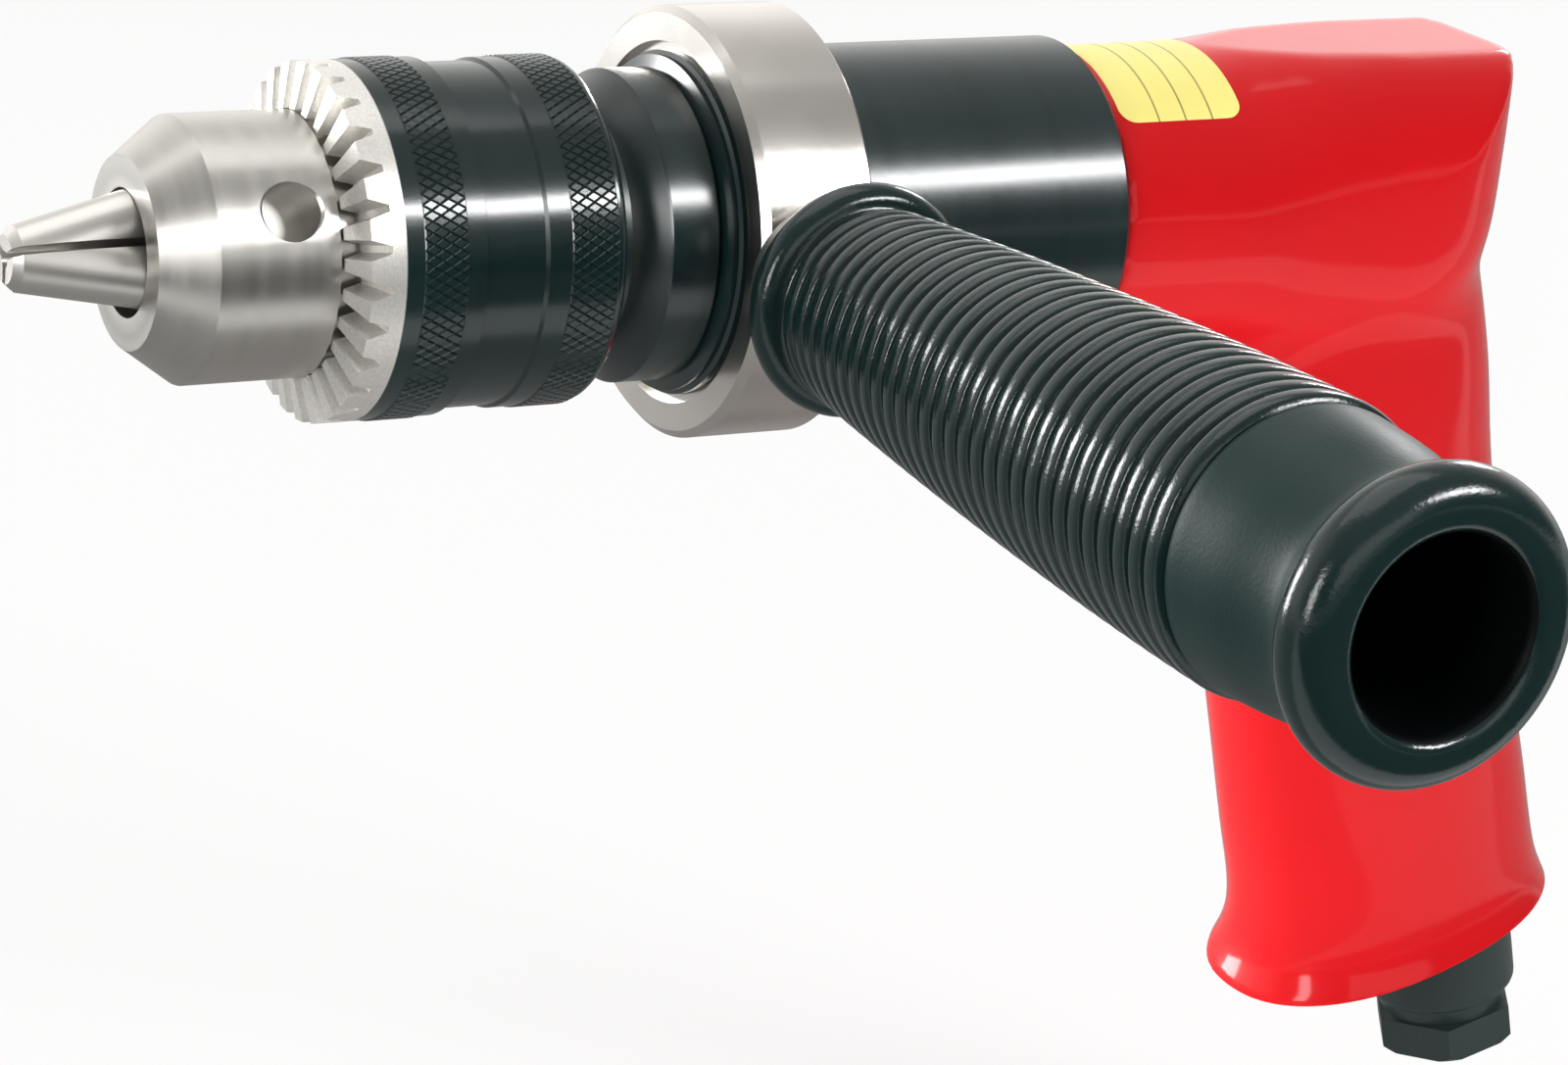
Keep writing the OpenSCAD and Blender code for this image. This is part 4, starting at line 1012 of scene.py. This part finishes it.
    def trim(self, bm):
        """Cuts the grip's base flat and rounds its edge."""
        place = self.in_grip(-self.base_front * self.grip_d, self.grip_len)
        down = self.in_grip(math.sin(self.base_tilt), math.cos(self.base_tilt)) - self.in_grip(0, 0)
        low = []
        for face in bm.faces:
            centre = face.calc_center_median()
            if (centre - place).dot(down) > -self.base_reach and centre.z < self.base_below:
                low.append(face)
        parts = list({v for f in low for v in f.verts}) + list({e for f in low for e in f.edges}) + low
        slice_off(bm, parts, place, down, self.base_flat)
        flat = {v for v in bm.verts if abs((v.co - place).dot(down)) < self.base_flat}
        rim = [e for e in bm.edges if flat.issuperset(e.verts)]
        bmesh.ops.bevel(
            bm, geom=rim, offset=self.base_round, offset_type="OFFSET", segments=4, profile=0.5,
            affect="EDGES", clamp_overlap=True, material=-1,
        )
        outward(bm)

    def hollow(self, shell):
        """Opens the bores that the motor, the valves, the inlet and the exhaust sit in."""
        bm = bmesh.new()
        rod(bm, SPINDLE * self.spigot_start, SPINDLE * self.spigot_end, self.spigot_r, steps=96)
        combine(shell, shaped(bm, "spigot"), "UNION")
        bores = [(Vector((a, 0, z)), Vector((b, 0, z)), r) for a, b, z, r in self.spindle_bores]
        for u, side, a, b, r in self.grip_bores:
            bores.append((self.in_grip(u, a, side), self.in_grip(u, b, side), r))
        for start, end, radius in bores:
            bm = bmesh.new()
            rod(bm, start, end, radius)
            combine(shell, shaped(bm, "bore"), "DIFFERENCE")

    def label(self, looks, shell):
        """Lays a thin film with round corners on the skin."""
        start, end, radius = self.label_start, self.label_end, self.label_r
        half = self.label_half_angle * radius
        bm = bmesh.new()
        bmesh.ops.create_grid(bm, x_segments=1, y_segments=1, size=0.5)
        bmesh.ops.scale(bm, vec=(end - start, 2 * half, 1), verts=bm.verts[:])
        bmesh.ops.bevel(
            bm, geom=bm.verts[:], offset=self.label_corner, offset_type="OFFSET", segments=6, profile=0.5,
            affect="VERTICES", material=-1,
        )
        for axis, size in ((0, end - start), (1, 2 * half)):
            normal = Vector((1 - axis, axis, 0))
            for k in range(1, self.label_cells):
                place = normal * size * (k / self.label_cells - 0.5)
                bmesh.ops.bisect_plane(bm, geom=everything(bm), plane_co=place, plane_no=normal)
        for vert in bm.verts:
            angle = vert.co.y / radius
            x = (start + end) / 2 + vert.co.x
            out = Vector((0, math.sin(angle), math.cos(angle)))
            found, place, _, _ = shell.ray_cast(Vector((x, 0, 0)) + out * self.label_probe, -out)
            if not found:
                raise RuntimeError("the label has no housing under it")
            vert.co = place + out * self.label_lift
        outward(bm)
        bmesh.ops.solidify(bm, geom=bm.faces[:], thickness=self.label_film)
        outward(bm)
        piece = shaped(bm, "label")
        settle(piece, "drill_body", label_finish(looks, start, end))
        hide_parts("name_plate")


class DRILL_OT_controls(bpy.types.Operator):
    """Ease the trigger and the reverse lever, and finish the small parts beside them"""

    bl_idname = "drill.controls"
    bl_label = "Trigger and reverse lever"

    # Node, name of its copy, width of the eased edge, and body
    eased = (
        ("trigger", "trigger_eased", 0.0009, "trigger_body"),
        ("reverse_lever", "reverse_lever_eased", 0.0007, "reverse_body"),
    )

    def execute(self, context):
        black = grained(
            "control_oxide", (0.025, 0.026, 0.028), metallic=0.0, roughness=0.35, fine=3000, depth=0.00002,
            specular_ior_level=0.6,
        )
        for node, name, width, body in self.eased:
            eased_copy(node, name, width, black, body)
        dress(black, "exhaust_cover")
        plated = grained(
            "screw_plating", (0.6, 0.6, 0.58), metallic=1.0, roughness=0.3, fine=4000, depth=0.000008
        )
        dress(plated, "reverse_lever_screw", "exhaust_cover_screw")
        return {"FINISHED"}


class DRILL_OT_inlet(bpy.types.Operator):
    """Finish the air inlet"""

    bl_idname = "drill.inlet"
    bl_label = "Air inlet"

    def execute(self, context):
        dark = grained(
            "inlet_oxide", (0.016, 0.032, 0.03), metallic=0.0, roughness=0.34, fine=2600, depth=0.00003,
            specular_ior_level=0.5,
        )
        dress(dark, "inlet_bushing")
        return {"FINISHED"}


class DRILL_OT_side_handle(bpy.types.Operator):
    """Turn the ribbed side grip and finish its ring and stud"""

    bl_idname = "drill.side_handle"
    bl_label = "Side handle"

    plain_start = 0.125
    plain_end = 0.1433
    hollow_r = 0.0108
    plain_slot = 1
    painted_shade_slot = 2
    smooth_angle = 60
    grip_start = 0.0331
    grip_length = 0.1173
    first_r = 0.0118
    last_r = 0.0162
    swell_power = 1.7
    rib_start = 0.0053
    rib_end_share = 0.78
    rib_power = 2.8
    rib_steps = 12
    stud_r = 0.00402
    collar_face_r = 0.0092
    collar_r = 0.0116
    collar_half = 0.0022
    collar_end = 0.0049
    # Way past the last rib, and share of the widest radius
    shoulder = (0.0006, 0.958)
    plain_shares = ((0.0014, 0.962), (0.008, 0.935), (0.0133, 0.893), (0.0166, 0.883))
    neck_back = 0.0071
    neck_r = 0.0147
    rim_r = 0.0125
    rim_half = 0.0039
    mouth_r = 0.0119
    mouth_half = 0.0017
    core_r = 0.0102
    core_depth = 0.062

    def execute(self, context):
        looks = context.scene.drill_handle
        bright = grained(
            "ring_bright", tuple(looks.steel), metallic=1.0, roughness=0.22, fine=5000, depth=0.000001,
            spread=0.02,
        )
        dress(bright, "clamp_ring")
        plated = turned_steel("stud_plated", (0.55, 0.55, 0.53), roughness=0.32, pitch=3800, depth=0.00001)
        dress(plated, "handle_stud")
        axis = middle("clamp_ring").x
        bm = bmesh.new()
        turn(bm, self.outline(looks), SPINDLE * axis, OUT, SPINDLE, steps=128)
        outward(bm)
        piece = shaped(bm, "side_grip_ribbed")
        gloss = vinyl_finish("grip_gloss", tuple(looks.vinyl), roughness=0.15, shine=0.45)
        settle(piece, "grip_body", gloss, self.smooth_angle)
        plain = vinyl_finish("grip_plain", tuple(looks.plain), roughness=0.4, shine=0.16)
        piece.data.materials.append(plain)
        # The faces inside the bore take a near-black, dull vinyl: painted shade for the hollow
        hollow = vinyl_finish("grip_hollow_painted_shade", tuple(looks.hollow), roughness=0.5, shine=0.1)
        piece.data.materials.append(hollow)
        for face in piece.data.polygons:
            # Faces nearer the axis than the bore's radius take the painted shade; the plain stretch takes the
            # duller vinyl
            x, y, z = face.center
            if math.hypot(x - axis, z) < self.hollow_r:
                face.material_index = self.painted_shade_slot
            elif self.plain_start < -y < self.plain_end:
                face.material_index = self.plain_slot
        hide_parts("side_grip")
        return {"FINISHED"}

    def outline(self, looks):
        """Half outline of the side grip, as places along it and radii."""
        length, first, last, depth = self.grip_length, self.first_r, self.last_r, looks.rib_depth
        zone = length * self.rib_end_share - self.rib_start
        line = [(0, self.stud_r), (0, self.collar_face_r)]
        line += arc(self.collar_half, self.collar_r, self.collar_half, -90, 90, 14)
        line.append((self.collar_end, first - depth))
        for k in range(looks.ribs):
            for i in range(self.rib_steps):
                f = i / self.rib_steps
                q = (k + f) / looks.ribs
                swell = first + (last - first) * (1 - (1 - q) ** self.swell_power)
                crest = math.sqrt(max(0, 1 - abs(2 * f - 1) ** self.rib_power))
                line.append((self.rib_start + q * zone, swell - depth + depth * crest))
        plain = self.rib_start + zone
        line += [(plain, last - depth), (plain + self.shoulder[0], last * self.shoulder[1])]
        curve = [(plain + way, last * share) for way, share in self.plain_shares]
        line += flow(curve + [(length - self.neck_back, self.neck_r)], steps=6)
        line += arc(length - self.rim_half, self.rim_r, self.rim_half, -50, 90, 18)
        line += arc(length - self.mouth_half, self.mouth_r, self.mouth_half, 90, 180, 8)
        line += [(length - self.core_depth, self.core_r), (length - self.core_depth, self.stud_r)]
        return [(self.grip_start + a, r) for a, r in line]


class DRILL_OT_inner_parts(bpy.types.Operator):
    """Finish the gears, the motor, the bearings and the valves inside"""

    bl_idname = "drill.inner_parts"
    bl_label = "Inner parts"

    # Slot: name, colour, metallic, roughness, fineness of the grain and its depth
    finish_table = {
        "bronze": ("bronze_sintered", (0.5, 0.33, 0.14), 1.0, 0.42, 3600, 0.00002),
        "brass": ("brass_turned", (0.62, 0.46, 0.18), 1.0, 0.3, 3000, 0.00001),
        "felt": ("felt_pressed", (0.3, 0.3, 0.28), 0.0, 0.9, 1800, 0.0002),
        "vane_fibre": ("vane_fibre", (0.2, 0.11, 0.055), 0.0, 0.6, 2200, 0.00005),
        "seal_rubber": ("seal_rubber", (0.015, 0.015, 0.015), 0.0, 0.55, 2200, 0.00003),
        "spring_steel": ("spring_wire", (0.45, 0.45, 0.44), 1.0, 0.33, 3600, 0.00001),
    }
    screw_row = ("screw_oxide", (0.03, 0.03, 0.032), 0.0, 0.35, 3000, 0.00001)

    def execute(self, context):
        steel = turned_steel("gear_machined", (0.52, 0.52, 0.51), roughness=0.32, pitch=3600, depth=0.00001)
        finishes = {"gear_steel": steel}
        for slot, row in self.finish_table.items():
            finishes[slot] = grained(*row)
        for part in frame["record"]["subparts"]:
            finish = finishes.get(part["material_slot"])
            if finish and part["node"] in NODES:
                dress(finish, part["node"])
        dress(grained(*self.screw_row), "chuck_screw")
        return {"FINISHED"}


class DRILL_OT_springs(bpy.types.Operator):
    """Copy the trigger spring and the valve spring into pieces of their own"""

    bl_idname = "drill.springs"
    bl_label = "Springs"

    trigger_travel = 0.0036
    valve_drop = 0.003
    down_grip = (math.sin(DRILL_OT_housing.grip_rake), 0, -math.cos(DRILL_OT_housing.grip_rake))

    def execute(self, context):
        self.wind("trigger_spring", SPINDLE, self.trigger_travel)
        self.wind("valve_spring", Vector(self.down_grip), self.valve_drop)
        return {"FINISHED"}

    def wind(self, node, axis, travel):
        """Copy of a spring that stands for the node; it is not flattened, and the axis and the travel are not
        used.
        """
        bm = bmesh.new()
        bm.from_mesh(NODES[node].data)
        weld(bm)
        piece = shaped(bm, node + "_wound")
        settle(piece, "drill_body", NODES[node].data.materials[0])
        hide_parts(node)
        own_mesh(piece)


class DRILL_PT_panel(bpy.types.Panel):
    """Lists the drill's building steps in the sidebar"""

    bl_label = "Air drill"
    bl_idname = "DRILL_PT_panel"
    bl_space_type = "VIEW_3D"
    bl_region_type = "UI"
    bl_category = "Air drill"

    def draw(self, context):
        for operator in OPERATORS:
            self.layout.operator(operator.bl_idname)


OPERATORS = (
    DRILL_OT_effects, DRILL_OT_studio, DRILL_OT_inner_parts, DRILL_OT_chuck, DRILL_OT_gear_case,
    DRILL_OT_housing, DRILL_OT_controls, DRILL_OT_inlet, DRILL_OT_side_handle, DRILL_OT_springs,
)
GROUPS = (ChuckLooks, HousingLooks, HandleLooks, StudioLooks)
CLASSES = GROUPS + OPERATORS + (DRILL_PT_panel,)


def register():
    for cls in CLASSES:
        bpy.utils.register_class(cls)
    bpy.types.Scene.drill_chuck = PointerProperty(type=ChuckLooks)
    bpy.types.Scene.drill_housing = PointerProperty(type=HousingLooks)
    bpy.types.Scene.drill_handle = PointerProperty(type=HandleLooks)
    bpy.types.Scene.drill_studio = PointerProperty(type=StudioLooks)


def unregister():
    del bpy.types.Scene.drill_studio
    del bpy.types.Scene.drill_handle
    del bpy.types.Scene.drill_housing
    del bpy.types.Scene.drill_chuck
    for cls in reversed(CLASSES):
        bpy.utils.unregister_class(cls)


def main():
    register()
    for operator in OPERATORS:
        group, name = operator.bl_idname.split(".")
        getattr(getattr(bpy.ops, group), name)()


if __name__ == "__main__":
    main()
